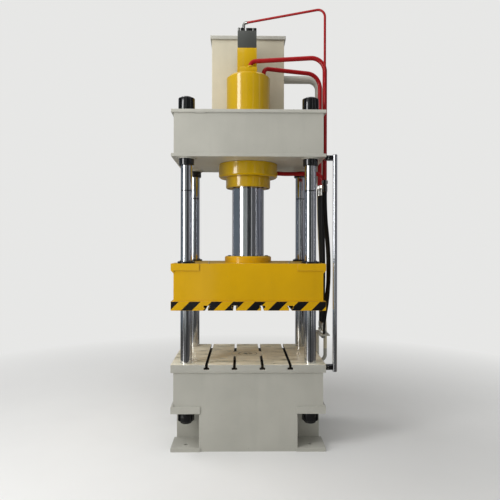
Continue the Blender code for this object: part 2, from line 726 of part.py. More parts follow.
def columns():
    """Four columns, each with a nut above and below and a collar under the crown."""
    for name, (sx, sy) in CORNERS.items():
        place = (sx * COLUMN_X, sy * COLUMN_Y)
        column(name, place)
        slotted_nut("upper_nut_" + name, place, CROWN_TOP + SEAT_GAP, UPPER_NUT_HEIGHT)
        slotted_nut("lower_nut_" + name, place, POCKET_HEIGHT - SEAT_GAP - LOWER_NUT_HEIGHT,
                    LOWER_NUT_HEIGHT)
        collar_top = CROWN_BOTTOM - COLUMN_PAD_HEIGHT - SEAT_GAP
        profile = ring_profile(COLUMN_DIA / 2 + SEAT_GAP, COLUMN_DIA / 2 + COLLAR_WALL,
                               0, COLLAR_HEIGHT, NUT_CHAMFER)
        turned_part("collar_" + name, profile, BLACK_STEEL, (*place, collar_top - COLLAR_HEIGHT),
                    SEGMENTS_COLUMN)


def crown():
    """Welded crown: plates above and below, an inset box with ribs, and the tank's brackets."""
    half_x = BODY_HALF_X
    half_y = BODY_HALF_Y
    obj = box_part("crown", (-half_x, -half_y, CROWN_BOTTOM + CROWN_PLATE / 2),
                   (half_x, half_y, CROWN_TOP - CROWN_PLATE / 2), FRAME_PAINT)
    for name, low in (("top", CROWN_TOP - CROWN_PLATE), ("bottom", CROWN_BOTTOM)):
        join(obj, box_cutter("crown_plate_" + name, (-PLATE_HALF_X, -PLATE_HALF_Y, low),
                             (PLATE_HALF_X, PLATE_HALF_Y, low + CROWN_PLATE)))
    for name, (sx, sy) in CORNERS.items():
        join(obj, disc_cutter("crown_pad_" + name, COLUMN_DIA + 2 * COLUMN_PAD_WALL,
                              COLUMN_PAD_HEIGHT + CROWN_PLATE / 2,
                              (sx * COLUMN_X, sy * COLUMN_Y, CROWN_BOTTOM - COLUMN_PAD_HEIGHT),
                              SEGMENTS_COLUMN))
    for name, side in (("left", -1), ("right", 1)):
        join(obj, tank_bracket("crown_bracket_" + name, side))
    through = CROWN_HEIGHT + COLUMN_PAD_HEIGHT + 2 * CUT_OVERRUN
    start = CROWN_BOTTOM - COLUMN_PAD_HEIGHT - CUT_OVERRUN
    for name, (sx, sy) in CORNERS.items():
        cut(obj, disc_cutter("crown_hole_" + name, COLUMN_HOLE_DIA, through,
                             (sx * COLUMN_X, sy * COLUMN_Y, start), SEGMENTS_COLUMN))
    cut(obj, disc_cutter("crown_cylinder_hole", CYLINDER_DIA + 2 * SEAT_GAP, through, (0, 0, start),
                         SEGMENTS_LARGE))
    for name, low, high in crown_cells():
        cut(obj, box_cutter("crown_cell_" + name, low, high))
    level = (CROWN_BOTTOM + CROWN_TOP) / 2
    for index, offset in enumerate((-CROWN_WINDOW_X, 0, CROWN_WINDOW_X)):
        cut(obj, disc_cutter("crown_rib_window_" + str(index), CROWN_WINDOW_DIA,
                             2 * (CROWN_RIB_Y + CROWN_WALL + CUT_OVERRUN),
                             (offset, CROWN_RIB_Y + CROWN_WALL + CUT_OVERRUN, level),
                             SEGMENTS_SMALL, UPRIGHT_ALONG_Y))
    cut(obj, disc_cutter("crown_cross_window", CROWN_WINDOW_DIA,
                         2 * (CROWN_RIB_X + CROWN_WALL + CUT_OVERRUN),
                         (-CROWN_RIB_X - CROWN_WALL - CUT_OVERRUN, 0, level),
                         SEGMENTS_SMALL, (0, math.pi / 2, 0)))


def tank_bracket(name, side):
    """Three-cornered bracket on the crown's back under the tank."""
    back = PLATE_HALF_Y - CROWN_PLATE / 2
    reach = TANK_FRONT_Y + TANK_DEPTH
    foot = CROWN_TOP - BRACKET_DROP
    points = [
        (back - BODY_INSET_Y, CROWN_TOP - CROWN_PLATE / 2), (back - BODY_INSET_Y, foot),
        (reach, CROWN_TOP - BRACKET_THICKNESS), (reach, CROWN_TOP), (back, CROWN_TOP),
    ]
    mesh = outline_mesh(name, points, BRACKET_THICKNESS)
    place = side * (TANK_WIDTH / 2 - BRACKET_THICKNESS)
    return add_cutter(name, mesh, (place, 0, 0), (math.pi / 2, 0, math.pi / 2))


def crown_cells():
    """Hollows between the ribs of the crown."""
    low = CROWN_BOTTOM + CROWN_PLATE
    high = CROWN_TOP - CROWN_PLATE
    outer_x = BODY_HALF_X - CROWN_WALL
    outer_y = BODY_HALF_Y - CROWN_WALL
    x_bands = [("left", -outer_x, -CROWN_RIB_X - CROWN_WALL), ("middle", -CROWN_RIB_X, CROWN_RIB_X),
               ("right", CROWN_RIB_X + CROWN_WALL, outer_x)]
    y_bands = [("front", -outer_y, -CROWN_RIB_Y - CROWN_WALL), ("centre", -CROWN_RIB_Y, CROWN_RIB_Y),
               ("rear", CROWN_RIB_Y + CROWN_WALL, outer_y)]
    return [(y_name + "_" + x_name, (x_low, y_low, low), (x_high, y_high, high))
            for x_name, x_low, x_high in x_bands for y_name, y_low, y_high in y_bands]


def slider():
    """Welded slider: an open-bottomed box with ribs, and thick plates at its upper corners."""
    half_x = BODY_HALF_X
    half_y = BODY_HALF_Y
    low = SLIDER_BOTTOM + SEAT_GAP
    obj = box_part("slider", (-half_x, -half_y, low), (half_x, half_y, SLIDER_TOP), YELLOW_PAINT)
    shelf = SLIDER_TOP - SLIDER_CORNER_THICKNESS
    for name, (sx, sy) in CORNERS.items():
        corner_plate(obj, "slider_corner_" + name, (sx, sy), POCKET_X, CORNER_PLATE_DEPTH, SLIDER_TOP,
                     shelf, shelf - FLARE_HEIGHT)
    outer_x = half_x - SLIDER_WALL
    outer_y = half_y - SLIDER_WALL
    floor = low - CUT_OVERRUN
    roof = SLIDER_TOP - SLIDER_TOP_PLATE
    x_bands = [("left", -outer_x, -SLIDER_RIB_X - SLIDER_WALL), ("middle", -SLIDER_RIB_X, SLIDER_RIB_X),
               ("right", SLIDER_RIB_X + SLIDER_WALL, outer_x)]
    y_bands = [("front", -outer_y, -SLIDER_RIB_Y - SLIDER_WALL),
               ("centre", -SLIDER_RIB_Y, SLIDER_RIB_Y), ("rear", SLIDER_RIB_Y + SLIDER_WALL, outer_y)]
    for name, (sx, sy) in CORNERS.items():
        cut(obj, disc_cutter("slider_hole_" + name, SLEEVE_DIA + 2 * SEAT_GAP,
                             SLIDER_TOP_PLATE + 2 * CUT_OVERRUN,
                             (sx * COLUMN_X, sy * COLUMN_Y, roof - CUT_OVERRUN), SEGMENTS_COLUMN))
    for x_name, x_low, x_high in x_bands:
        for y_name, y_low, y_high in y_bands:
            cut(obj, box_cutter("slider_cell_" + y_name + "_" + x_name, (x_low, y_low, floor),
                                (x_high, y_high, roof)))


def platen():
    """Slider's lower plate with T-slots that open downward."""
    slotted_plate("slider_platen", PLATEN_BOTTOM, SLIDER_BOTTOM, PLATEN_BOTTOM, 1,
                  SLEEVE_DIA + 2 * SEAT_GAP, YELLOW_PAINT)


def guide_sleeves():
    """Flanged guide sleeves that run on the columns."""
    inner = COLUMN_HOLE_DIA / 2
    outer = SLEEVE_DIA / 2
    flange = outer + SLEEVE_FLANGE_RIM
    seat = SLIDER_TOP + SEAT_GAP
    top = seat + SLEEVE_FLANGE_THICKNESS
    edge = SLEEVE_FLANGE_CHAMFER
    for name, (sx, sy) in CORNERS.items():
        profile = [
            (flange - edge, top), (flange, top - edge), (flange, seat), (outer, seat),
            (outer, PLATEN_BOTTOM), (inner, PLATEN_BOTTOM), (inner, top),
        ]
        turned_part("guide_sleeve_" + name, profile, BLACK_STEEL,
                    (sx * COLUMN_X, sy * COLUMN_Y, 0), SEGMENTS_COLUMN)


def ram():
    """Ram with its piston head above and its foot below, and the split flange that holds it."""
    radius = RAM_DIA / 2
    head = CYLINDER_BORE_DIA / 2 - SEAT_GAP
    foot = RAM_FOOT_DIA / 2
    low = SLIDER_TOP + SEAT_GAP
    foot_top = low + RAM_FOOT_HEIGHT
    piston_top = PISTON_BOTTOM + PISTON_HEIGHT
    turned_part("ram", [
        (0, piston_top), (head, piston_top), (head, PISTON_BOTTOM), (radius, PISTON_BOTTOM),
        (radius, foot_top), (foot, foot_top), (foot, low), (0, low),
    ], CHROME, (0, 0, 0), SEGMENTS_LARGE, closed=False)
    outer = RAM_FLANGE_DIA / 2
    top = low + RAM_FLANGE_HEIGHT
    edge = RAM_FLANGE_CHAMFER
    ledge = foot_top + SEAT_GAP
    turned_part("ram_flange", [
        (outer - edge, top), (outer, top - edge), (outer, low), (foot + SEAT_GAP, low),
        (foot + SEAT_GAP, ledge), (radius + SEAT_GAP, ledge), (radius + SEAT_GAP, top),
    ], YELLOW_PAINT, (0, 0, 0), SEGMENTS_LARGE)


def lower_port():
    """Centre of the rod-side port's face on the cylinder flange, and its direction."""
    direction = Vector((math.cos(LOWER_PORT_ANGLE), math.sin(LOWER_PORT_ANGLE), 0))
    level = CYLINDER_MOUTH + CYLINDER_FLANGE_HEIGHT / 2
    face = direction * (CYLINDER_FLANGE_DIA / 2 + PORT_BOSS_LENGTH)
    return Vector((face.x, face.y, level)), direction


def main_cylinder():
    """Cylinder through the crown, with its flange below, and the gland ring under it."""
    bore = CYLINDER_BORE_DIA / 2
    outer = CYLINDER_DIA / 2
    flange = CYLINDER_FLANGE_DIA / 2
    edge = CYLINDER_TOP_CHAMFER
    rim = CYLINDER_FLANGE_CHAMFER
    flange_top = CROWN_BOTTOM - SEAT_GAP
    valve = VALVE_BORE_DIA / 2
    body = turned_part("cylinder_body", [
        (outer - edge, CYLINDER_TOP), (outer, CYLINDER_TOP - edge), (outer, flange_top),
        (flange, flange_top), (flange, CYLINDER_MOUTH + rim), (flange - rim, CYLINDER_MOUTH),
        (bore, CYLINDER_MOUTH), (bore, BORE_TOP), (valve, BORE_TOP), (valve, CYLINDER_TOP),
    ], YELLOW_PAINT, (0, 0, 0), SEGMENTS_LARGE)
    face, direction = lower_port()
    length = PORT_BOSS_LENGTH + rim
    start = face - direction * length
    join(body, disc_cutter("cylinder_port_boss", PORT_BOSS_DIA, length, start, SEGMENTS_SMALL,
                           (math.pi / 2, 0, math.pi / 2 + LOWER_PORT_ANGLE)))
    half_block = PORT_BLOCK_WIDTH / 2
    join(body, box_cutter("cylinder_port_block", (-half_block, PORT_BLOCK_FRONT_Y, CYLINDER_TOP - edge),
                          (half_block, -PREFILL_WIDTH / 2 - SEAT_GAP, CYLINDER_TOP + PORT_BLOCK_HEIGHT)))
    inner = RAM_DIA / 2 + SEAT_GAP
    top = CYLINDER_MOUTH - SEAT_GAP
    profile = ring_profile(inner, GLAND_DIA / 2, top - GLAND_HEIGHT, top, GLAND_CHAMFER)
    turned_part("gland_ring", profile, YELLOW_PAINT, (0, 0, 0), SEGMENTS_LARGE)


def prefill_valve():
    """Valve block on the cylinder, the pilot block above it and the pipe to the tank."""
    half = PREFILL_WIDTH / 2
    low = CYLINDER_TOP + SEAT_GAP
    chamfer(box_part("prefill_valve_body", (PREFILL_X - half, -half, low),
                     (PREFILL_X + half, half, PREFILL_TOP), YELLOW_PAINT), BLOCK_BEVEL)
    half_pilot = PILOT_BLOCK_WIDTH / 2
    chamfer(box_part("pilot_block", (PREFILL_X - half_pilot, -half_pilot, PREFILL_TOP + SEAT_GAP),
                     (PREFILL_X + half_pilot, half_pilot, PILOT_BLOCK_TOP), GREY_BLOCK), BLOCK_BEVEL)
    half_cover = PILOT_COVER_WIDTH / 2
    cover_low = PILOT_BLOCK_TOP + SEAT_GAP
    chamfer(box_part("pilot_cover", (PILOT_COVER_X - half_cover, -half_cover, cover_low),
                     (PILOT_COVER_X + half_cover, half_cover, PILOT_BLOCK_TOP + PILOT_COVER_HEIGHT),
                     BLACK_STEEL), BLOCK_BEVEL)
    start = half + SEAT_GAP
    length = TANK_FRONT_Y - SEAT_GAP - start
    bore = PREFILL_PIPE_DIA / 2 - TANK_WALL
    tube = PREFILL_PIPE_DIA / 2
    flange = PREFILL_FLANGE_DIA / 2
    plate = PREFILL_FLANGE_THICKNESS
    turned_part("prefill_pipe", [
        (flange, length), (flange, length - plate), (tube, length - plate), (tube, plate),
        (flange, plate), (flange, 0), (bore, 0), (bore, length),
    ], YELLOW_PAINT, (PREFILL_X, start, CYLINDER_TOP + PREFILL_HEIGHT / 2), SEGMENTS_COLUMN,
        rotation=(-math.pi / 2, 0, 0))


def tank():
    """Oil tank on the back of the crown, open at the top, with its lid."""
    half = TANK_WIDTH / 2
    back = TANK_FRONT_Y + TANK_DEPTH
    low = CROWN_TOP + SEAT_GAP
    obj = box_part("oil_tank", (-half, TANK_FRONT_Y, low), (half, back, TANK_TOP), FRAME_PAINT)
    inner = half - TANK_WALL
    cut(obj, box_cutter("tank_hollow", (-inner, TANK_FRONT_Y + TANK_WALL, low + TANK_WALL),
                        (inner, back - TANK_WALL, TANK_TOP + CUT_OVERRUN)))
    lid_half = half + LID_OVERHANG
    chamfer(box_part("tank_lid", (-lid_half, TANK_FRONT_Y - LID_OVERHANG, TANK_TOP + SEAT_GAP),
                     (lid_half, back + LID_OVERHANG, TANK_TOP + LID_THICKNESS), FRAME_PAINT),
            BLOCK_BEVEL)


def bent_path(corners, bend_radii):
    """Straight runs through the corners, with a round bend at each inner one."""
    points = [Vector(corners[0])]
    for before, corner, after, radius in zip(corners, corners[1:], corners[2:], bend_radii):
        corner = Vector(corner)
        back = (Vector(before) - corner).normalized()
        ahead = (Vector(after) - corner).normalized()
        half_angle = back.angle(ahead) / 2
        trim = radius / math.tan(half_angle)
        centre = corner + (back + ahead).normalized() * radius / math.sin(half_angle)
        start = corner + back * trim - centre
        finish = corner + ahead * trim - centre
        turn = start.angle(finish)
        for step in range(BEND_STEPS + 1):
            share = step / BEND_STEPS
            start_weight = math.sin((1 - share) * turn) / math.sin(turn)
            finish_weight = math.sin(share * turn) / math.sin(turn)
            points.append(centre + start * start_weight + finish * finish_weight)
    points.append(Vector(corners[-1]))
    return points


def tube_part(name, points, diameter, material):
    """Round tube along a path, with filled ends."""
    curve = bpy.data.curves.new(name, "CURVE")
    curve.dimensions = "3D"
    curve.bevel_depth = diameter / 2
    curve.bevel_resolution = TUBE_BEVEL_RESOLUTION
    curve.use_fill_caps = True
    spline = curve.splines.new("POLY")
    spline.points.add(len(points) - 1)
    for point, place in zip(spline.points, points):
        point.co = (*place, 1)
    spline.use_smooth = True
    return add_part(name, curve, material)


def steel_pipes():
    """Red pressure pipes from the cylinder's ports to the right side of the crown."""
    start = CYLINDER_TOP + SEAT_GAP
    front_start = start + PORT_BLOCK_HEIGHT
    level = CYLINDER_TOP + FRONT_PIPE_LEVEL
    front = [(FRONT_PORT_X, FRONT_PORT_Y, front_start), (FRONT_PORT_X, FRONT_PORT_Y, level),
             (FRONT_PIPE_X, FRONT_PIPE_Y, level), (FRONT_PIPE_X, FRONT_PIPE_Y, PIPE_END)]
    tube_part("pipe_front", bent_path(front, (PIPE_PORT_BEND, PIPE_BEND_RADIUS)), PIPE_DIA, RED_PAINT)
    level = CYLINDER_TOP + REAR_PIPE_LEVEL
    rear = [(REAR_PORT_X, 0, start), (REAR_PORT_X, 0, level),
            (REAR_PIPE_X, REAR_PIPE_Y, level), (REAR_PIPE_X, REAR_PIPE_Y, PIPE_END)]
    tube_part("pipe_rear", bent_path(rear, (PIPE_PORT_BEND, PIPE_BEND_RADIUS)), PIPE_DIA, RED_PAINT)
    face, direction = lower_port()
    lower = [face + direction * SEAT_GAP, face + direction * LOWER_PORT_RUN,
             (LOWER_PIPE_X, LOWER_PIPE_Y, face.z), (LOWER_PIPE_X, LOWER_PIPE_Y, PIPE_END)]
    tube_part("pipe_lower", bent_path(lower, (PIPE_BEND_RADIUS, LOWER_PIPE_BEND)), PIPE_DIA, RED_PAINT)


def pilot_line():
    """Elbow on the pilot block and the thin pipe from it to the right side of the crown."""
    level = PILOT_BLOCK_TOP + PILOT_PIPE_RISE
    corner = Vector((ELBOW_X, 0, level))
    bend = Vector((PILOT_PIPE_X, PILOT_PIPE_Y, level))
    direction = (bend - corner).normalized()
    foot = Vector((ELBOW_X, 0, PILOT_BLOCK_TOP + SEAT_GAP))
    elbow_end = corner + direction * ELBOW_REACH
    tube_part("pilot_elbow", bent_path([foot, corner, elbow_end], [ELBOW_BEND]), ELBOW_DIA, ZINC)
    start = elbow_end + direction * SEAT_GAP
    finish = (PILOT_PIPE_X, PILOT_PIPE_Y, PIPE_END)
    tube_part("pilot_pipe", bent_path([start, bend, finish], [PILOT_BEND_RADIUS]), PILOT_PIPE_DIA,
              RED_PAINT)


def tank_line():
    """Cream pipe from the tank down behind the crown, its reducer, and the stub on the bed."""
    level = CROWN_TOP + TANK_PIPE_HEIGHT
    end = CROWN_BOTTOM - TANK_PIPE_END_DROP
    path = bent_path([(TANK_WIDTH / 2 + SEAT_GAP, TANK_PIPE_Y, level), (TANK_PIPE_X, TANK_PIPE_Y, level),
                      (TANK_PIPE_X, TANK_PIPE_Y, end)], [TANK_PIPE_BEND])
    tube_part("tank_pipe", path, TANK_PIPE_DIA, FRAME_PAINT)
    top = -SEAT_GAP
    wide = TANK_PIPE_DIA / 2
    narrow = REDUCER_SPIGOT_DIA / 2
    turned_part("return_reducer", [
        (0, top), (wide, top), (wide, top - REDUCER_RIM), (narrow, top - REDUCER_CONE),
        (narrow, top - REDUCER_CONE - REDUCER_SPIGOT), (0, top - REDUCER_CONE - REDUCER_SPIGOT),
    ], FRAME_PAINT, (TANK_PIPE_X, TANK_PIPE_Y, end), SEGMENTS_SMALL, closed=False)
    stub = [(BODY_HALF_X - BED_WALL, SIDE_PORT_Y, SIDE_PORT_HEIGHT),
            (RETURN_STUB_X, SIDE_PORT_Y, SIDE_PORT_HEIGHT),
            (RETURN_STUB_X, SIDE_PORT_Y, SIDE_PORT_HEIGHT + RETURN_STUB_RISE)]
    tube_part("return_stub", bent_path(stub, [RETURN_BEND]), RETURN_DIA, FRAME_PAINT)


def smooth_route(route, diameter):
    """Points a few diameters apart on a Catmull-Rom curve through a hose's own points."""
    points = [Vector(point) for point in route]
    ends = [points[0] * 2 - points[1]] + points + [points[-1] * 2 - points[-2]]
    path = [points[0]]
    for before, start, finish, after in zip(ends, ends[1:], ends[2:], ends[3:]):
        steps = max(1, round((finish - start).length / (HOSE_SPACING_DIAMETERS * diameter)))
        for step in range(1, steps + 1):
            t = step / steps
            path.append((start * 2 + (finish - before) * t
                         + (before * 2 - start * 5 + finish * 4 - after) * t ** 2
                         + (start * 3 - before - finish * 3 + after) * t ** 3) / 2)
    return path


def hoses():
    """Hoses from the pipes under the crown to the bracket and the bed."""
    for name, route, diameter, material in (
            ("hose_front", FRONT_HOSE_ROUTE, HOSE_DIA, BLACK_RUBBER),
            ("hose_lower", LOWER_HOSE_ROUTE, HOSE_DIA, BLACK_RUBBER),
            ("hose_rear", REAR_HOSE_ROUTE, HOSE_DIA, BLACK_RUBBER),
            ("pilot_hose", PILOT_HOSE_ROUTE, PILOT_HOSE_DIA, BLACK_RUBBER),
            ("return_hose", RETURN_HOSE_ROUTE, RETURN_DIA, CREAM_HOSE)):
        tube_part(name, smooth_route(route, diameter), diameter, material)


def fitting_profile(shank):
    """Half section of a hose fitting, its nut at height zero and its ferrule below."""
    nut = FITTING_NUT_DIA / 2
    neck = FITTING_NECK_DIA / 2
    ferrule = FERRULE_DIA / 2
    under_nut = -FITTING_NUT_LENGTH
    shoulder = under_nut - FITTING_NECK_LENGTH
    end = shoulder - FERRULE_LENGTH
    profile = [
        (nut, 0), (nut, under_nut), (neck, under_nut), (neck, shoulder), (ferrule, shoulder),
        (ferrule, end), (0, end),
    ]
    if shank:
        radius = FITTING_SHANK_DIA / 2
        return [(0, FITTING_SHANK_LENGTH), (radius, FITTING_SHANK_LENGTH), (radius, 0)] + profile
    return [(0, 0)] + profile


def hose_fittings():
    """Swaged fittings at both ends of the pressure hoses."""
    lower_seat = SHELF_HEIGHT + SEAT_GAP
    for name, upper, lower_y in (
            ("front", (FRONT_PIPE_X, FRONT_PIPE_Y), FRONT_HOSE_Y),
            ("lower", (LOWER_PIPE_X, LOWER_PIPE_Y), LOWER_HOSE_Y),
            ("rear", (REAR_PIPE_X, REAR_PIPE_Y), REAR_HOSE_Y)):
        turned_part("fitting_top_" + name, fitting_profile(False), ZINC,
                    (*upper, PIPE_END - SEAT_GAP), SEGMENTS_SMALL, closed=False)
        turned_part("fitting_low_" + name, fitting_profile(True), ZINC,
                    (SHELF_PORT_X, lower_y, lower_seat), SEGMENTS_SMALL, closed=False,
                    rotation=(math.pi, 0, 0))


def hose_bracket():
    """Bracket on the bed's right side whose shelf carries the lower hose ends."""
    pad = BODY_HALF_X + SEAT_GAP
    riser = PLATE_HALF_X + TABLE_EDGE_CLEARANCE
    outer = riser + SHELF_THICKNESS
    under = SHELF_HEIGHT - SHELF_THICKNESS
    points = [
        (pad, SHELF_PAD_BOTTOM), (outer, SHELF_PAD_BOTTOM), (outer, under), (riser + SHELF_WIDTH, under),
        (riser + SHELF_WIDTH, SHELF_HEIGHT), (riser, SHELF_HEIGHT), (riser, SHELF_PAD_TOP),
        (pad, SHELF_PAD_TOP),
    ]
    centre_y = SHELF_FRONT_Y + SHELF_LENGTH / 2
    obj = add_part("hose_bracket", outline_mesh("hose_bracket", points, SHELF_LENGTH), FRAME_PAINT,
                   (0, centre_y, 0), UPRIGHT_ALONG_Y)
    for name, place in (("front", FRONT_HOSE_Y), ("lower", LOWER_HOSE_Y), ("rear", REAR_HOSE_Y)):
        cut(obj, disc_cutter("shelf_hole_" + name, FITTING_SHANK_DIA + 2 * SEAT_GAP,
                             SHELF_THICKNESS + 2 * CUT_OVERRUN,
                             (SHELF_PORT_X, place, under - CUT_OVERRUN), SEGMENTS_SMALL))


def side_bar():
    """Chromed bar beside the right front column, held by a bracket at the crown and the table."""
    radius = BAR_DIA / 2
    low = TABLE_TOP - TABLE_THICKNESS + SEAT_GAP
    high = CROWN_BOTTOM + BAR_OVERHANG
    edge = COLUMN_END_CHAMFER
    turned_part("side_bar", [
        (0, high), (radius - edge, high), (radius, high - edge), (radius, low + edge),
        (radius - edge, low), (0, low),
    ], CHROME, (BAR_X, BAR_Y, 0), SEGMENTS_COLUMN, closed=False)
    for name, centre in (("upper", CROWN_BOTTOM), ("lower", TABLE_TOP - TABLE_THICKNESS / 2)):
        base = centre - BAR_BRACKET_HEIGHT / 2
        obj = box_part("bar_bracket_" + name, (PLATE_HALF_X + SEAT_GAP, BAR_Y, base),
                       (BAR_X + radius - BAR_CLAMP_SETBACK, BAR_Y + BAR_BRACKET_DEPTH,
                        base + BAR_BRACKET_HEIGHT), BLACK_STEEL)
        cut(obj, disc_cutter("bar_seat_" + name, BAR_DIA + 2 * SEAT_GAP,
                             BAR_BRACKET_HEIGHT + 2 * CUT_OVERRUN,
                             (BAR_X, BAR_Y, base - CUT_OVERRUN), SEGMENTS_COLUMN))


bed()
table()
ejector()
columns()
crown()
slider()
platen()
guide_sleeves()
ram()
main_cylinder()
prefill_valve()
tank()
steel_pipes()
pilot_line()
tank_line()
hoses()
hose_fittings()
hose_bracket()
side_bar()
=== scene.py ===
"""Finish of the hydraulic press: fine round pieces, chamfered plates, paint, chrome, hoses and the studio."""

import json
import math

import bpy
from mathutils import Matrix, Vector


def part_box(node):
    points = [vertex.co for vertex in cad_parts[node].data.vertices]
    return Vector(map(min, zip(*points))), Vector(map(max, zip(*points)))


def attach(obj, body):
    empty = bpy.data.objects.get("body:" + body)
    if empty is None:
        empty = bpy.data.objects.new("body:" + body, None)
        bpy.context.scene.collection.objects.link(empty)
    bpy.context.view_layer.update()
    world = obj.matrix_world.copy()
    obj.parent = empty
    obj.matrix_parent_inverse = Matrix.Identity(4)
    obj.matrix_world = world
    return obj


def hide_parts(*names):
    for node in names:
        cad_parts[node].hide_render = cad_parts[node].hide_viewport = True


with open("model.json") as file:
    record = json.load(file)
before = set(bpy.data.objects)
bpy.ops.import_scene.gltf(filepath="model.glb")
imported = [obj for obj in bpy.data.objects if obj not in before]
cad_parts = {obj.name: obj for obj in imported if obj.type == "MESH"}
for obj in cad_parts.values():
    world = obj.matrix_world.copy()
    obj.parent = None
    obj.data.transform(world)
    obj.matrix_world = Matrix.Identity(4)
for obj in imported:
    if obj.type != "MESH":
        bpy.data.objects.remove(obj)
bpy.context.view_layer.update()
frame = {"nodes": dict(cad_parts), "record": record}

NODES = frame["nodes"]
BODY_OF = {node: body for body, nodes in frame["record"]["behaviour"]["bodies"].items() for node in nodes}
CORNERS = ("front_left", "front_right", "rear_left", "rear_right")
UP = (0, 0, 1)
# Vertices nearer than this are one
MERGE = 0.00001
# Gap between pieces that fit into each other
FIT = 0.0003
# How far a cutter stands out of what it cuts
OVERCUT = 0.01
# Share of its chamfer that a slotted plate or a slotted nut gets
FINE_SHARE = 0.6

bl_info = {
    "name": "Hydraulic press finish",
    "version": (1, 0, 0),
    "blender": (4, 5, 0),
    "location": "View3D > Sidebar > Press",
    "description": "Dresses the packed press with fine geometry, painted and metal surfaces, and a studio",
    "category": "Object",
}

# Hose routes, from the upper end to the lower end
HOSE_ROUTES = {
    "hose_front": [
        (0.645, -0.235, 2.1144), (0.645, -0.235, 2.040), (0.655, -0.214, 1.880), (0.675, -0.176, 1.740),
        (0.693, -0.130, 1.600), (0.706, -0.076, 1.450), (0.712, -0.018, 1.300), (0.708, 0.050, 1.180),
        (0.698, 0.096, 1.080), (0.690, 0.110, 1.000), (0.690, 0.110, 0.9576),
    ],
    "hose_lower": [
        (0.674, 0.085, 2.1144), (0.674, 0.085, 2.040), (0.677, 0.089, 1.880), (0.683, 0.099, 1.740),
        (0.689, 0.113, 1.600), (0.693, 0.128, 1.450), (0.695, 0.144, 1.300), (0.694, 0.159, 1.180),
        (0.692, 0.170, 1.080), (0.690, 0.175, 1.000), (0.690, 0.175, 0.9576),
    ],
    "hose_rear": [
        (0.662, 0.150, 2.1144), (0.662, 0.150, 2.040), (0.666, 0.156, 1.880), (0.674, 0.168, 1.740),
        (0.681, 0.182, 1.600), (0.687, 0.198, 1.450), (0.691, 0.213, 1.300), (0.692, 0.226, 1.180),
        (0.691, 0.236, 1.080), (0.690, 0.240, 1.000), (0.690, 0.240, 0.9576),
    ],
    "pilot_hose": [
        (0.636, -0.290, 2.2097), (0.636, -0.290, 2.140), (0.648, -0.270, 1.940), (0.669, -0.231, 1.780),
        (0.690, -0.182, 1.620), (0.705, -0.126, 1.460), (0.713, -0.066, 1.300), (0.711, -0.008, 1.150),
        (0.700, 0.040, 1.020), (0.690, 0.060, 0.910), (0.690, 0.060, 0.8623),
    ],
    "return_hose": [
        (0.690, 0.400, 2.2194), (0.690, 0.400, 2.120), (0.692, 0.397, 1.960), (0.697, 0.390, 1.780),
        (0.705, 0.381, 1.600), (0.715, 0.370, 1.420), (0.726, 0.358, 1.240), (0.736, 0.346, 1.060),
        (0.743, 0.336, 0.900), (0.745, 0.330, 0.760), (0.745, 0.330, 0.6803),
    ],
}
# Hoses: diameter, finish, stiffness
HOSES = {
    "hose_front": (0.038, "rubber", "stiff"), "hose_lower": (0.038, "rubber", "stiff"),
    "hose_rear": (0.038, "rubber", "stiff"), "pilot_hose": (0.018, "rubber", "medium"),
    "return_hose": (0.034, "cream", "medium"),
}
# Lamps: azimuth to the left of the camera, distance, height, width and length, power, seen in gloss
LAMPS = (
    ("key_lamp", 50, 4.4, 3.0, (1.15, 3.2), 108, True),
    ("fill_lamp", -60, 4.4, 2.2, (0.35, 3.6), 5, False),
    ("window_lamp", 112, 3.4, 4.7, (2.0, 1.4), 55, False),
    ("top_lamp", 20, 1.6, 6.0, (3.0, 3.0), 90, False),
)
LAMP_TARGET = (0, 0, 1.8)
# Upright cards round the studio: azimuth, distance, width, tone
CARDS = (
    ("camera_card", -7.5, 3.4, 1.8, (0.05, 0.055, 0.055)),
    ("near_left_card", 22, 6.5, 2.9, (0.55, 0.60, 0.58)),
    ("left_card", 94, 6.5, 8.6, (0.28, 0.34, 0.40)),
    ("rear_left_card", 150, 6.5, 6.0, (0.34, 0.36, 0.40)),
    ("near_right_card", -41, 6.5, 3.5, (0.17, 0.17, 0.18)),
    ("right_card", -92, 6.5, 7.4, (0.29, 0.30, 0.35)),
    ("rear_right_card", -145, 6.5, 6.5, (0.34, 0.35, 0.38)),
    ("rear_card", 180, 6.4, 3.0, (0.20, 0.20, 0.18)),
)
CARD_HEIGHT = 8.0
# Cards on the floor: azimuth, distance of the middle, width, length, level, tone
FLOOR_CARDS = (
    ("floor_card", 0, 0.0, 13.0, 13.0, 0.004, (0.115, 0.11, 0.105)),
    ("floor_left_strip", 51, 3.8, 0.75, 4.8, 0.008, (1.0, 1.0, 0.97)),
    ("floor_right_strip", -84, 3.8, 1.8, 4.8, 0.008, (0.42, 0.39, 0.34)),
)


def number(text, default, **more):
    """Float property whose name is its description."""
    return bpy.props.FloatProperty(name=text, description=text, default=default, **more)


def metres(text, default):
    """Length in metres, not below zero."""
    return number(text, default, min=0.0, unit="LENGTH", precision=4)


def rgb(text, default):
    """Colour in linear RGB."""
    return bpy.props.FloatVectorProperty(name=text, description=text, default=default, size=3,
                                         min=0.0, max=1.0, subtype="COLOR")


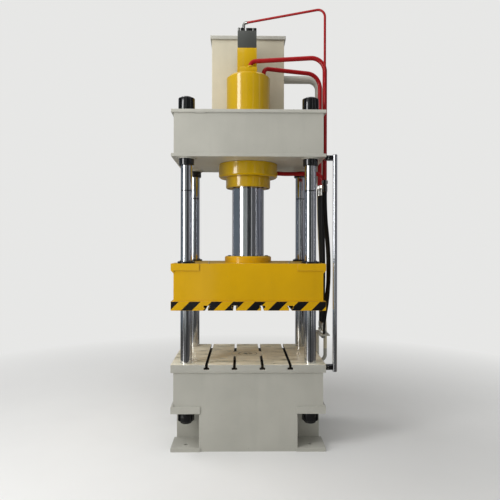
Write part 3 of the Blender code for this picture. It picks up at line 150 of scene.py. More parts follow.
class PressSizes(bpy.types.PropertyGroup):
    """Sizes of the finish that the frame does not give."""

    facets: bpy.props.IntProperty(name="Facets", description="Facets round a turned piece", default=96,
                                  min=24)
    plate_chamfer: metres("Chamfer on welded plates", 0.0025)
    turned_chamfer: metres("Chamfer on turned steel", 0.0015)
    nut_chamfer: metres("Chamfer on columns, nuts and the round bar", 0.004)
    block_chamfer: metres("Chamfer on milled blocks", 0.003)
    groove_drop: metres("Column ring groove below the crown", 0.259)
    groove_width: metres("Width of the column ring groove", 0.008)
    groove_depth: metres("Depth of the column ring groove", 0.0015)
    column_stub: metres("Blackened end of a column", 0.012)
    pad_radius: metres("Radius of the round pad round a column, under the crown's plate", 0.0775)
    pad_top: metres("Height of that pad", 0.0105)
    nut_slot: metres("Depth and half width of a nut's spanner slots", 0.008)
    sleeve_rim: metres("How far a guide sleeve's flange stands out", 0.017)
    sleeve_flange: metres("Thickness of a guide sleeve's flange", 0.016)
    ram_diameter: metres("Diameter of the chromed ram", 0.280)
    ram_foot: metres("Height of the ram's foot flange", 0.022)
    piston_height: metres("Height of the ram's piston head", 0.090)
    cylinder_diameter: metres("Outer diameter of the main cylinder", 0.386)
    cylinder_bore: metres("Bore of the main cylinder", 0.304)
    cylinder_chamfer: metres("Chamfer on the cylinder's top", 0.018)
    cylinder_head: metres("Thickness of the cylinder's closed end", 0.080)
    head_port: metres("Radius of the prefill port in the closed end", 0.055)
    mouth_height: metres("Height of the cylinder's mouth flange", 0.118)
    mouth_diameter: metres("Diameter of the cylinder's mouth flange", 0.520)
    mouth_chamfer: metres("Chamfer under the mouth flange", 0.012)
    port_diameter: metres("Boss of the lower oil port", 0.062)
    port_length: metres("How far the lower oil port stands out", 0.014)
    port_block: metres("Width of the port block on the cylinder's top", 0.150)
    port_bend: metres("Bend of the pressure pipes over their ports", 0.045)
    pipe_diameter: metres("Diameter of the pressure pipes", 0.038)
    pipe_bend: metres("Wide bend of the pressure pipes", 0.120)
    pipe_flange: metres("Thickness of the prefill pipe's flanges", 0.018)
    lower_bend: metres("Last bend of the lower pressure pipe", 0.065)
    pilot_bend: metres("Bend of the thin pilot pipe", 0.070)
    tank_bend: metres("Bend of the wide tank pipe", 0.100)
    return_bend: metres("Bend of the return stub", 0.060)
    weld: metres("Diameter of a weld bead", 0.007)
    table_hole: metres("Radius of the table's round opening", 0.1452)
    ejector_ring: metres("Diameter of the ring line on the ejector disc", 0.160)


class PressColours(bpy.types.PropertyGroup):
    """Colours of the finish, linear."""

    frame_paint: rgb("Warm light grey enamel of the frame", (0.465, 0.457, 0.405))
    tank_paint: rgb("Cream enamel of the oil tank", (0.60, 0.555, 0.43))
    yellow_paint: rgb("Machine yellow of the slider", (0.66, 0.370, 0.001))
    turned_yellow: rgb("Glossier yellow of cylinder and flanges", (0.56, 0.345, 0.002))
    red_paint: rgb("Red of the pressure pipes", (0.33, 0.004, 0.006))
    stripe_black: rgb("Black of the warning stripes", (0.008, 0.008, 0.009))
    chrome: rgb("Hard chrome of columns and ram", (0.62, 0.63, 0.66))
    table_steel: rgb("Ground steel of the table's top", (1.0, 0.95, 0.78))
    black_steel: rgb("Blackened steel of nuts and sleeves", (0.010, 0.010, 0.011))
    grey_block: rgb("Dark grey of the pilot block", (0.070, 0.074, 0.068))
    zinc: rgb("Bright zinc of fittings and screws", (0.44, 0.44, 0.42))
    rubber: rgb("Black cover of the pressure hoses", (0.005, 0.005, 0.005))
    cream_cover: rgb("Cream cover of the return hose", (0.66, 0.60, 0.45))


class PressStripes(bpy.types.PropertyGroup):
    """Warning stripes on the platen's front edge."""

    pitch: metres("From one black stripe to the next", 0.1746)
    start: number("Upper left corner of a black stripe", 0.054, unit="LENGTH")
    black_share: number("Share of the pitch that is black", 0.5, min=0.0, max=1.0)


class PressStudio(bpy.types.PropertyGroup):
    """Camera, backdrop and even light."""

    distance: metres("Camera to the front plane of the press", 4.017)
    eye_height: metres("Camera above the floor", 1.647)
    eye_side: number("Camera to the right of the centre", 0.0178, unit="LENGTH")
    yaw: number("Turn of the view about the press", math.radians(0.9), subtype="ANGLE")
    roll: number("Lean of the camera to the side", math.radians(-0.10), subtype="ANGLE")
    lens: number("Focal length in millimetres", 36.0)
    shift: number("Vertical lens shift", -0.006)
    backdrop: rgb("Pale floor and backdrop", (0.80, 0.80, 0.79))
    glow: number("Strength of the backdrop where it is seen", 1.0, min=0.0)
    fill: number("Strength of the even light round the press", 0.48, min=0.0)


def sizes():
    """Sizes of the open scene."""
    return bpy.context.scene.press_sizes


def colours():
    """Colours of the open scene."""
    return bpy.context.scene.press_colours


# Helpers for objects and edit mode


def deselect():
    """Leave object mode with nothing selected."""
    bpy.ops.object.select_all(action="DESELECT")


def activate(obj):
    """Select one object alone."""
    deselect()
    obj.select_set(True)
    bpy.context.view_layer.objects.active = obj


def settle(obj):
    """Put place, turn and scale into the mesh."""
    activate(obj)
    bpy.ops.object.transform_apply(location=True, rotation=True, scale=True)


def link(name, data):
    """New active object in the scene."""
    obj = bpy.data.objects.new(name, data)
    bpy.context.scene.collection.objects.link(obj)
    activate(obj)
    return obj


def weld_mesh(last_step, **options):
    """Merge doubles of the active mesh, then run one more step on all of it."""
    bpy.ops.object.mode_set(mode="EDIT")
    bpy.ops.mesh.select_all(action="SELECT")
    bpy.ops.mesh.remove_doubles(threshold=MERGE)
    last_step(**options)
    bpy.ops.object.mode_set(mode="OBJECT")


def modify(obj, kind, **settings):
    """Add one modifier and apply it."""
    modifier = obj.modifiers.new(kind, kind)
    for key, value in settings.items():
        setattr(modifier, key, value)
    activate(obj)
    bpy.ops.object.modifier_apply(modifier=modifier.name)


def chamfer(obj, width, edge_slot=-1, segments=1):
    """Chamfer the sharp edges; the new faces may take a material slot of their own."""
    modify(obj, "BEVEL", width=width, segments=segments, limit_method="ANGLE",
           angle_limit=math.radians(40.0), material=edge_slot)


def cut_away(obj, cutter):
    """Cut one piece out of another and delete the cutter."""
    modify(obj, "BOOLEAN", operation="DIFFERENCE", solver="EXACT", object=cutter)
    bpy.data.objects.remove(cutter, do_unlink=True)


def dress(obj, finishes, node_name=None, body="frame", width=0.0, segments=1, angle=32.0):
    """Give a piece its finishes in slot order, chamfer and shade it, let it ride and stand for its node."""
    finishes = finishes.split()
    obj.data.materials.clear()
    for finish in finishes:
        obj.data.materials.append(MATERIALS[finish])
    if width:
        chamfer(obj, width, 1 if len(finishes) > 1 else -1, segments)
    activate(obj)
    bpy.ops.object.shade_smooth_by_angle(angle=math.radians(angle))
    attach(obj, BODY_OF[node_name] if node_name else body)
    if node_name:
        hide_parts(node_name)


def centre_of(name):
    """Middle of a CAD node's box."""
    low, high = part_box(name)
    return (Vector(low) + Vector(high)) / 2


def half_width(name):
    """Half of a CAD node's width along X."""
    low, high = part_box(name)
    return (high[0] - low[0]) / 2


def levels(name):
    """Lowest and highest level of a CAD node."""
    low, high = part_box(name)
    return low[2], high[2]


def turned(name, profile, centre=(0.0, 0.0), facets=None, ring=False):
    """Turned shape: a circle, extruded and resized from one radius and height to the next."""
    radius, height = profile[0]
    deselect()
    bpy.ops.mesh.primitive_circle_add(vertices=facets or sizes().facets, radius=radius,
                                      fill_type="NOTHING" if ring else "NGON", location=(0, 0, height))
    obj = bpy.context.object
    obj.name = name
    bpy.ops.object.transform_apply(location=True, rotation=False, scale=False)
    bpy.ops.object.mode_set(mode="EDIT")
    bpy.ops.mesh.select_all(action="SELECT")
    steps = profile[1:] + profile[:1] if ring else profile[1:]
    for next_radius, next_height in steps:
        bpy.ops.mesh.extrude_region_move(TRANSFORM_OT_translate={"value": (0, 0, next_height - height)})
        if abs(next_radius - radius) > MERGE:
            share = next_radius / radius
            bpy.ops.transform.resize(value=(share, share, 1), center_override=(0, 0, next_height))
        radius, height = next_radius, next_height
    weld_mesh(bpy.ops.mesh.normals_make_consistent, inside=False)
    obj.location = (centre[0], centre[1], 0)
    settle(obj)
    return obj


def lay_down(obj, start, direction):
    """Turn an upright piece that starts at height zero along a direction from a point."""
    obj.rotation_euler = Vector(UP).rotation_difference(Vector(direction)).to_euler()
    obj.location = start
    settle(obj)


def block(name, low, high):
    """Box between two corners."""
    deselect()
    bpy.ops.mesh.primitive_cube_add(size=1, location=[(a + b) / 2 for a, b in zip(low, high)])
    obj = bpy.context.object
    obj.name = name
    obj.scale = [b - a for a, b in zip(low, high)]
    settle(obj)
    return obj


def plate_copy(name, node_name):
    """Copy of a CAD weldment, its loose triangles welded and its flat faces joined."""
    obj = link(name, NODES[node_name].data.copy())
    weld_mesh(bpy.ops.mesh.dissolve_limited, angle_limit=math.radians(0.5))
    bpy.ops.mesh.customdata_custom_splitnormals_clear()
    return obj


def join(objects, name):
    """Join pieces into the first one."""
    deselect()
    for obj in objects:
        obj.select_set(True)
    bpy.context.view_layer.objects.active = objects[0]
    if len(objects) > 1:
        bpy.ops.object.join()
    objects[0].name = name
    return objects[0]


def ring_places(centre, radius, count, start=0.0, upright=False):
    """Places spaced round a circle that lies flat, or that stands across the Y axis."""
    second = 2 if upright else 1
    places = []
    for index in range(count):
        angle = start + math.tau * index / count
        place = list(centre)
        place[0] += radius * math.cos(angle)
        place[second] += radius * math.sin(angle)
        places.append(place)
    return places


def cap_screw(name, diameter, height):
    """Socket cap screw that stands on level zero: a chamfered head with a hexagon socket."""
    radius = diameter / 2
    edge = diameter * 0.06
    socket = radius * 0.55
    head = turned(name, [(radius, 0), (radius, height - edge), (radius - edge, height)], facets=24)
    cut_away(head, turned(name + "_socket", [(socket, height * 0.4), (socket, height * 1.5)], facets=6))
    return head


def hex_bolt(name, diameter, height):
    """Hexagon bolt head on its washer, standing on level zero."""
    radius = diameter / 2
    edge = diameter * 0.07
    washer = radius * 1.18
    return join([
        turned(name + "_washer", [(washer, 0), (washer, 0.0025)], facets=32),
        turned(name, [(radius, 0.002), (radius, height - edge), (radius - edge, height)], facets=6),
    ], name)


def fasten(pattern, places, direction, body, finish):
    """Repeat one screw at places, all driven along one direction, and join the copies."""
    name = pattern.name
    lay_down(pattern, (0, 0, 0), direction)
    made = []
    for place in places:
        obj = link(name, pattern.data.copy())
        obj.location = place
        settle(obj)
        made.append(obj)
    bpy.data.objects.remove(pattern, do_unlink=True)
    dress(join(made, name), finish, body=body)


def tube(name, points, diameter, resolution=8):
    """Round tube with closed ends along points, as a mesh."""
    curve = bpy.data.curves.new(name, "CURVE")
    curve.dimensions = "3D"
    curve.bevel_depth = diameter / 2
    curve.bevel_resolution = resolution
    curve.use_fill_caps = True
    spline = curve.splines.new("POLY")
    spline.points.add(len(points) - 1)
    for point, place in zip(spline.points, points):
        point.co = (*place, 1)
    link(name, curve)
    bpy.ops.object.convert(target="MESH")
    weld_mesh(bpy.ops.mesh.normals_make_consistent, inside=False)
    return bpy.context.object


def weld(name, runs, finish="bead", body="frame", width=None):
    """Weld beads along straight runs, joined into one piece."""
    width = width or sizes().weld
    beads = [tube(name + "_" + str(index), run, width, 3) for index, run in enumerate(runs)]
    dress(join(beads, name), finish, body=body, angle=60)


def weld_frame(half_x, half_y, level):
    """Four straight runs round a box at one level."""
    corners = [(-half_x, -half_y, level), (half_x, -half_y, level), (half_x, half_y, level),
               (-half_x, half_y, level)]
    return list(zip(corners, corners[1:] + corners[:1]))


def bent_path(corners, radii, steps=14):
    """Straight runs through the corners with a round bend at each inner one."""
    points = [Vector(corners[0])]
    for before, corner, after, radius in zip(corners, corners[1:], corners[2:], radii):
        corner = Vector(corner)
        back = (Vector(before) - corner).normalized()
        ahead = (Vector(after) - corner).normalized()
        half_angle = back.angle(ahead) / 2
        trim = radius / math.tan(half_angle)
        centre = corner + (back + ahead).normalized() * radius / math.sin(half_angle)
        start = corner + back * trim - centre
        finish = corner + ahead * trim - centre
        turn = start.angle(finish)
        for step in range(steps + 1):
            share = step / steps
            points.append(centre + start * math.sin((1 - share) * turn) / math.sin(turn)
                          + finish * math.sin(share * turn) / math.sin(turn))
    points.append(Vector(corners[-1]))
    return points


def smooth_route(route, spacing):
    """Close points on a Catmull-Rom curve through a hose's own points."""
    points = [Vector(point) for point in route]
    ends = [points[0] * 2 - points[1]] + points + [points[-1] * 2 - points[-2]]
    path = [points[0]]
    for before, start, finish, after in zip(ends, ends[1:], ends[2:], ends[3:]):
        steps = max(1, round((finish - start).length / spacing))
        for step in range(1, steps + 1):
            t = step / steps
            path.append((start * 2 + (finish - before) * t
                         + (before * 2 - start * 5 + finish * 4 - after) * t ** 2
                         + (start * 3 - before - finish * 3 + after) * t ** 3) / 2)
    return path


# Helpers for node materials


def feed(tree, shader, inputs):
    """Set or link the inputs of a node."""
    for key, value in inputs.items():
        if isinstance(value, bpy.types.NodeSocket):
            tree.links.new(value, shader.inputs[key])
        else:
            shader.inputs[key].default_value = value


def node(tree, kind, inputs=None, **settings):
    """Add a shader node, set its settings, and set or link its inputs."""
    made = tree.nodes.new("ShaderNode" + kind)
    for key, value in settings.items():
        setattr(made, key, value)
    feed(tree, made, inputs or {})
    return made


def place_socket(tree, stretch=(1.0, 1.0, 1.0)):
    """Object coordinates, stretched."""
    coordinates = node(tree, "TexCoord").outputs["Object"]
    return node(tree, "Mapping", {"Vector": coordinates, "Scale": stretch}).outputs[0]


def noise(tree, scale, detail=4.0, stretch=(1.0, 1.0, 1.0), roughness=0.55):
    """Noise value on Object coordinates."""
    return node(tree, "TexNoise", {"Vector": place_socket(tree, stretch), "Scale": scale,
                                   "Detail": detail, "Roughness": roughness}).outputs["Fac"]


def ramp(tree, value, low, high, first=0.0, last=1.0):
    """Value mapped from one range to another, clamped."""
    return node(tree, "MapRange", {"Value": value, "From Min": low, "From Max": high,
                                   "To Min": first, "To Max": last}).outputs[0]


def calc(tree, operation, first, *others):
    """Math nodes in a row: one operation on a first value and each of the others."""
    for other in others:
        first = node(tree, "Math", {0: first, 1: other}, operation=operation).outputs[0]
    return first


def length_of(tree, vector):
    """Length of a vector."""
    return node(tree, "VectorMath", {0: vector}, operation="LENGTH").outputs["Value"]


def mix(tree, share, first, second):
    """Blend of two colours."""
    return node(tree, "Mix", {0: share, 6: first, 7: second}, data_type="RGBA").outputs[2]


def bump(tree, height, strength, distance):
    """Normal from a height value."""
    return node(tree, "Bump", {"Height": height, "Strength": strength, "Distance": distance}).outputs[0]


def rgba(colour, factor=1.0):
    """Linear colour with alpha, scaled."""
    return (*(min(1.0, channel * factor) for channel in colour), 1.0)


def blank_surface(name):
    """New material, with its node tree and its shader."""
    material = bpy.data.materials.new(name)
    material.use_nodes = True
    return material, material.node_tree, material.node_tree.nodes["Principled BSDF"]


def enamel(name, colour, coat, wear=0.0, gloss=0.3, coat_roughness=0.12, peel_share=1.0):
    """Sprayed enamel: cloudy tone, faint runs, orange peel, fine scratches and a few chips."""
    material, tree, shader = blank_surface(name)
    cloud = ramp(tree, noise(tree, 2.2, 5), 0.35, 0.68)
    tone = mix(tree, cloud, rgba(colour, 0.92), rgba(colour, 1.04))
    runs = ramp(tree, noise(tree, 9.0, 6, (1.0, 1.0, 0.14)), 0.52, 0.78, 0.0, 0.16)
    tone = mix(tree, runs, tone, rgba(colour, 0.62))
    specks = ramp(tree, noise(tree, 95.0, 3), 0.735 - wear, 0.76 - wear)
    peel = calc(tree, "ADD", noise(tree, 240.0, 2), calc(tree, "MULTIPLY", noise(tree, 14.0, 3), 3.0))
    feed(tree, shader, {
        "Base Color": mix(tree, specks, tone, rgba((0.16, 0.145, 0.12))),
        "Roughness": ramp(tree, noise(tree, 5.0, 5), 0.3, 0.7, 0.28, 0.46),
        "Specular IOR Level": gloss, "Coat Weight": coat, "Coat Roughness": coat_roughness,
        "Normal": bump(tree, peel, 0.16 * peel_share, 0.0006),
    })
    return material


def weld_bead(name, colour):
    """Painted weld bead with its ripples."""
    material, tree, shader = blank_surface(name)
    cloud = ramp(tree, noise(tree, 30.0, 4), 0.35, 0.68)
    feed(tree, shader, {
        "Base Color": mix(tree, cloud, rgba(colour, 0.80), rgba(colour)), "Roughness": 0.42,
        "Specular IOR Level": 0.35, "Normal": bump(tree, noise(tree, 170.0, 2), 0.7, 0.002),
    })
    return material


def bright_metal(name, colour, roughness, line_scale, stretch):
    """Ground or polished metal with fine tool lines along one direction and a thin film of oil."""
    material, tree, shader = blank_surface(name)
    film = ramp(tree, noise(tree, 3.5, 5, (1.0, 1.0, 0.35)), 0.35, 0.7)
    lines = noise(tree, line_scale, 3, stretch)
    feed(tree, shader, {
        "Base Color": mix(tree, film, rgba(colour, 0.90), rgba(colour, 1.05)), "Metallic": 1.0,
        "Roughness": ramp(tree, lines, 0.3, 0.7, roughness * 0.85, roughness * 1.2),
        "Normal": bump(tree, lines, 0.02, 0.0001),
    })
    return material


def dark_metal(name, colour, roughness, gloss=0.4):
    """Blackened, oiled steel with rubbed patches; where it darkens the T-slots it is oil and painted shade,
    and on a column's groove and foot it is painted shade.
    """
    material, tree, shader = blank_surface(name)
    rubbed = ramp(tree, noise(tree, 22.0, 6), 0.56, 0.74, 0.0, 0.5)
    feed(tree, shader, {
        "Base Color": mix(tree, rubbed, rgba(colour), rgba(colour, 3.4)), "Metallic": 0.3,
        "Roughness": ramp(tree, noise(tree, 12.0, 4), 0.3, 0.7, roughness * 0.7, roughness * 1.3),
        "Specular IOR Level": gloss, "Normal": bump(tree, noise(tree, 260.0, 3), 0.06, 0.0003),
    })
    return material


def rubber_cover(name, colour):
    """Hose cover with the faint wrap marks of its cure."""
    material, tree, shader = blank_surface(name)
    dust = ramp(tree, noise(tree, 7.0, 5), 0.45, 0.75, 0.0, 0.4)
    feed(tree, shader, {
        "Base Color": mix(tree, dust, rgba(colour), rgba(colour, 1.9)), "Roughness": 0.55,
        "Specular IOR Level": 0.25,
        "Normal": bump(tree, noise(tree, 60.0, 3, (1.0, 1.0, 6.0)), 0.25, 0.0006),
    })
    return material


def table_surface(name, colour):
    """Ground table steel with brown oil bands that run from side to side."""
    material, tree, shader = blank_surface(name)
    bands = ramp(tree, noise(tree, 5.0, 8, (0.55, 2.6, 1.0), 0.68), 0.47, 0.66)
    stains = ramp(tree, noise(tree, 7.0, 7, (0.8, 1.6, 1.0), 0.66), 0.54, 0.68)
    flat = node(tree, "VectorMath", {0: place_socket(tree), 1: (1.0, 1.0, 0.0)}, operation="MULTIPLY")
    reach = length_of(tree, flat.outputs["Vector"])
    worn = ramp(tree, reach, 0.12, 0.32, 0.25, 1.0)
    ring = calc(tree, "COMPARE", reach, sizes().ejector_ring / 2)
    ring.node.inputs[2].default_value = 0.0035
    spot = calc(tree, "MULTIPLY", ramp(tree, reach, 0.028, 0.055, 1.0, 0.0),
                ramp(tree, noise(tree, 26.0, 4), 0.4, 0.6))
    tone = mix(tree, calc(tree, "MULTIPLY", bands, worn, 0.8), rgba(colour), rgba((0.52, 0.47, 0.29)))
    dirt = calc(tree, "MAXIMUM", calc(tree, "MULTIPLY", stains, worn, 0.7),
                calc(tree, "MULTIPLY", ring, 0.8), spot)
    feed(tree, shader, {
        "Base Color": mix(tree, dirt, tone, rgba((0.10, 0.085, 0.04))), "Metallic": 0.3,
        "Roughness": ramp(tree, bands, 0.0, 1.0, 0.42, 0.24),
        "Normal": bump(tree, noise(tree, 30.0, 4, (0.6, 22.0, 1.0)), 0.12, 0.0003),
    })
    return material


def striped_enamel(name):
    """Yellow enamel with black warning stripes painted on the platen's front edge."""
    stripes = bpy.context.scene.press_stripes
    low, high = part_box("slider_platen")
    material = enamel(name, colours().yellow_paint, 0.25, 0.0, 0.15)
    tree = material.node_tree
    base = tree.nodes["Principled BSDF"].inputs["Base Color"]
    painted = base.links[0].from_socket
    place = node(tree, "SeparateXYZ", {0: place_socket(tree)}).outputs
    lean = calc(tree, "SUBTRACT", place["X"], place["Z"])
    ragged = calc(tree, "MULTIPLY", calc(tree, "SUBTRACT", noise(tree, 60.0, 4), 0.5), 0.006)
    along = calc(tree, "ADD", lean, high[2] - stripes.start, ragged)
    phase = calc(tree, "FRACT", calc(tree, "DIVIDE", along, stripes.pitch), 0.0)
    black = calc(tree, "LESS_THAN", phase, stripes.black_share)
    front = calc(tree, "LESS_THAN", place["Y"], low[1] + sizes().plate_chamfer * 0.5)
    scuffs = ramp(tree, noise(tree, 45.0, 7), 0.70, 0.78, 1.0, 0.35)
    share = calc(tree, "MULTIPLY", black, front, scuffs)
    tree.links.new(mix(tree, share, painted, rgba(colours().stripe_black)), base)
    return material


def paler(colour, factor, lift=0.0):
    """Paler colour of a chamfered edge: rubbed paint, and partly a painted highlight along the edge."""
    return [min(1.0, channel * factor + lift) for channel in colour]


MATERIALS = {}


def make_materials():
    """All finishes, once."""
    tint = colours()
    MATERIALS.update({
        "frame": enamel("frame_enamel", tint.frame_paint, 0.2),
        # The _edge finishes go on chamfer faces: rubbed paint with more chips, and partly a painted highlight
        # along the edges.
        "frame_edge": enamel("frame_enamel_edge", paler(tint.frame_paint, 1.12), 0.2, 0.05),
        "tank": enamel("tank_enamel", tint.tank_paint, 0.2),
        "tank_edge": enamel("tank_enamel_edge", paler(tint.tank_paint, 1.12), 0.2, 0.05),
        "bead": weld_bead("weld_bead_enamel", tint.frame_paint),
        "yellow_bead": weld_bead("yellow_weld_bead_enamel", tint.yellow_paint),
        "yellow": enamel("yellow_enamel", tint.yellow_paint, 0.45, 0.0, 0.15),
        "turned_yellow": enamel("turned_yellow_enamel", tint.turned_yellow, 1.0, 0.0, 0.15, 0.05, 0.35),
        "yellow_edge": enamel("yellow_enamel_edge", paler(tint.yellow_paint, 1.1, 0.03), 0.3, 0.05),
        "striped": striped_enamel("striped_enamel"),
        "red": enamel("red_enamel", tint.red_paint, 0.2, 0.0, 0.2),
        "chrome": bright_metal("hard_chrome", tint.chrome, 0.12, 40.0, (0.4, 0.4, 22.0)),
        "table": table_surface("ground_table_steel", tint.table_steel),
        "black": dark_metal("blackened_steel", tint.black_steel, 0.14, 0.9),
        # Near-black steel inside the T-slots: oil, and partly painted shade in the slots.
        "slot": dark_metal("oily_slot_steel_painted_shade", tint.black_steel, 0.5),
        "grey": enamel("grey_block_enamel", tint.grey_block, 0.1),
        "zinc": bright_metal("zinc_plate", tint.zinc, 0.34, 120.0, (1.0, 1.0, 1.0)),
        "rubber": rubber_cover("black_hose_cover", tint.rubber),
        "cream": rubber_cover("cream_hose_cover", tint.cream_cover),
    })


def faces_where(obj, slot, test):
    """Give faces whose centre and normal pass a test a material slot."""
    for face in obj.data.polygons:
        if test(face.center, face.normal):
            face.material_index = slot


def slot_test(node_name, upward):
    """Test for faces inside the four T-slots of a slotted plate."""
    low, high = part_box(node_name)
    pitch = (high[0] - low[0]) * 0.18
    half_slot = 0.026
    depth = 0.045
    skin = 0.0035

    def inside(centre, normal):
        if abs(normal.y) > 0.5 or not low[2] + skin < centre.z < high[2] - skin:
            return False
        if not upward and centre.z - low[2] > depth:
            return False
        return any(abs(centre.x - pitch * (index - 1.5)) < half_slot for index in range(4))

    return inside


class PRESS_OT_weldments(bpy.types.Operator):
    """Chamfered and painted bed, crown, tank and brackets"""

    bl_idname = "press.weldments"
    bl_label = "Weldments"

    def execute(self, context):
        for name in ("bed", "crown", "oil_tank", "tank_lid", "hose_bracket"):
            finishes = "tank tank_edge" if name == "oil_tank" else "frame frame_edge"
            dress(plate_copy(name + "_weldment", name), finishes, name, width=sizes().plate_chamfer)
        for name in ("bar_bracket_upper", "bar_bracket_lower"):
            dress(plate_copy(name + "_clamp", name), "black", name, width=sizes().turned_chamfer)
        return {"FINISHED"}


class PRESS_OT_slider(bpy.types.Operator):
    """Yellow slider and its striped platen"""

    bl_idname = "press.slider"
    bl_label = "Slider"

    def execute(self, context):
        width = sizes().plate_chamfer
        dress(plate_copy("slider_weldment", "slider"), "yellow yellow_edge", "slider", width=width)
        platen = plate_copy("striped_platen", "slider_platen")
        dress(platen, "striped yellow_edge slot", "slider_platen", width=width * FINE_SHARE)
        # Faces inside the platen's T-slots get the near-black slot steel: oil, and partly painted shade.
        faces_where(platen, 2, slot_test("slider_platen", False))
        return {"FINISHED"}


class PRESS_OT_table(bpy.types.Operator):
    """Ground table with painted edges, and the ejector disc"""

    bl_idname = "press.table"
    bl_label = "Table"

    def execute(self, context):
        size = sizes()
        bottom, top = levels("table_plate")
        table = plate_copy("slotted_table", "table_plate")
        hole = size.table_hole
        cut_away(table, turned("table_hole", [(hole, bottom - OVERCUT), (hole, top + OVERCUT)]))
        dress(table, "frame table slot", "table_plate",
              width=size.plate_chamfer * FINE_SHARE)
        faces_where(table, 1, lambda centre, normal: normal.z > 0.5 and centre.z > top - 0.001)
        # Faces inside the table's T-slots get the near-black slot steel: oil, and partly painted shade.
        faces_where(table, 2, slot_test("table_plate", True))
        low, high = levels("ejector")
        disc = half_width("ejector") - 0.0005
        rod = 0.045
        edge = 0.002
        ring = size.ejector_ring / 2
        line = size.turned_chamfer
        centre_hole = 0.012
        dress(turned("ejector_disc", [
            (rod, low), (rod, bottom), (disc, bottom), (disc, high - edge), (disc - edge, high),
            (ring + line, high), (ring, high - line), (ring - line, high), (centre_hole, high),
            (centre_hole - edge, high - centre_hole),
        ]), "table", "ejector", angle=30)
        return {"FINISHED"}


class PRESS_OT_columns(bpy.types.Operator):
    """Chromed columns with their nuts, collars and guide sleeves"""

    bl_idname = "press.columns"
    bl_label = "Columns"

    def execute(self, context):
        for corner in CORNERS:
            column = "column_" + corner
            place = centre_of(column)
            radius = half_width(column)
            self.column(column, place, radius, levels("lower_nut_" + corner)[1])
            for stem in ("upper_nut_", "lower_nut_"):
                self.nut(stem + corner, place, radius + FIT)
            self.collar("collar_" + corner, place, radius + FIT)
            self.sleeve("guide_sleeve_" + corner, place, radius + FIT)
        return {"FINISHED"}

    def column(self, name, place, radius, nut_top):
        """Column with its ring groove and lathe centre, and the pad round it under the crown."""
        size = sizes()
        low, high = levels(name)
        floor = levels("crown")[0]
        groove = floor - size.groove_drop
        half = size.groove_width / 2
        inner = radius - size.groove_depth
        edge = size.nut_chamfer
        obj = turned(name + "_chrome", [
            (radius - edge, low), (radius, low + edge), (radius, nut_top), (radius, groove - half),
            (inner, groove - half), (inner, groove + half), (radius, groove + half), (radius, high - edge),
            (radius - edge, high), (radius * 0.22, high), (radius * 0.02, high - radius * 0.2),
        ], place)
        dress(obj, "chrome black", name)
        # Black faces: the blackened top end; the ring groove, as painted shade in the groove; and the length
        # below the lower nut's top, as painted shade under the nut in place of the floor's pale reflection.
        faces_where(obj, 1, lambda centre, normal: centre.z > high - size.column_stub
                    or centre.z < nut_top or abs(centre.z - groove) < half * 1.2)
        gap = 0.001
        top = floor + size.pad_top
        dress(turned(name + "_pad", [
            (radius + gap, top), (size.pad_radius, top), (size.pad_radius, floor + size.turned_chamfer),
            (size.pad_radius - gap, floor + FIT), (radius + gap, floor + FIT),
        ], place, ring=True), "frame")

    def nut(self, name, place, inner):
        """Round nut with spanner slots, turned and then cut."""
        outer = half_width(name)
        low, high = levels(name)
        edge = sizes().nut_chamfer
        slot = sizes().nut_slot
        obj = turned(name + "_turned", [
            (inner, high), (outer - edge, high), (outer, high - edge), (outer, low + edge),
            (outer - edge, low), (inner, low),
        ], place, ring=True)
        cutters = []
        for index in range(4):
            cutter = block(name + "_slot_" + str(index), (outer - slot, -slot, low - OVERCUT),
                           (outer + OVERCUT, slot, high + OVERCUT))
            cutter.rotation_euler = (0, 0, math.tau * (index + 0.5) / 4)
            cutter.location = (place[0], place[1], 0)
            settle(cutter)
            cutters.append(cutter)
        cut_away(obj, join(cutters, name + "_slots"))
        dress(obj, "black", name, width=sizes().turned_chamfer * FINE_SHARE)

    def collar(self, name, place, inner):
        """Collar round a column under the crown."""
        outer = half_width(name)
        low, high = levels(name)
        edge = sizes().nut_chamfer
        dress(turned(name + "_turned", [
            (inner, high), (outer - edge / 2, high), (outer, high - edge / 2), (outer, low + edge),
            (outer - edge, low), (inner + edge / 2, low), (inner, low + edge / 2),
        ], place, ring=True), "black", name)

    def sleeve(self, name, place, inner):
        """Flanged guide sleeve."""
        flange = half_width(name)
        low, high = levels(name)
        outer = flange - sizes().sleeve_rim
        seat = high - sizes().sleeve_flange
        edge = sizes().nut_chamfer
        dress(turned(name + "_turned", [
            (inner + edge / 2, high), (flange - edge, high), (flange, high - edge), (flange, seat),
            (outer, seat), (outer, low), (inner, low), (inner, high - edge / 2),
        ], place, ring=True), "black", name)


def barrel_top():
    """Level of the cylinder's top, under the prefill valve."""
    return levels("prefill_valve_body")[0] - FIT


def front_port():
    """Place of the front pressure pipe's foot."""
    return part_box("pipe_front")[0][0] + sizes().pipe_diameter / 2, -0.125


def lower_port():
    """Direction in which the lower oil port points."""
    angle = math.radians(20.0)
    return Vector((math.cos(angle), math.sin(angle), 0))


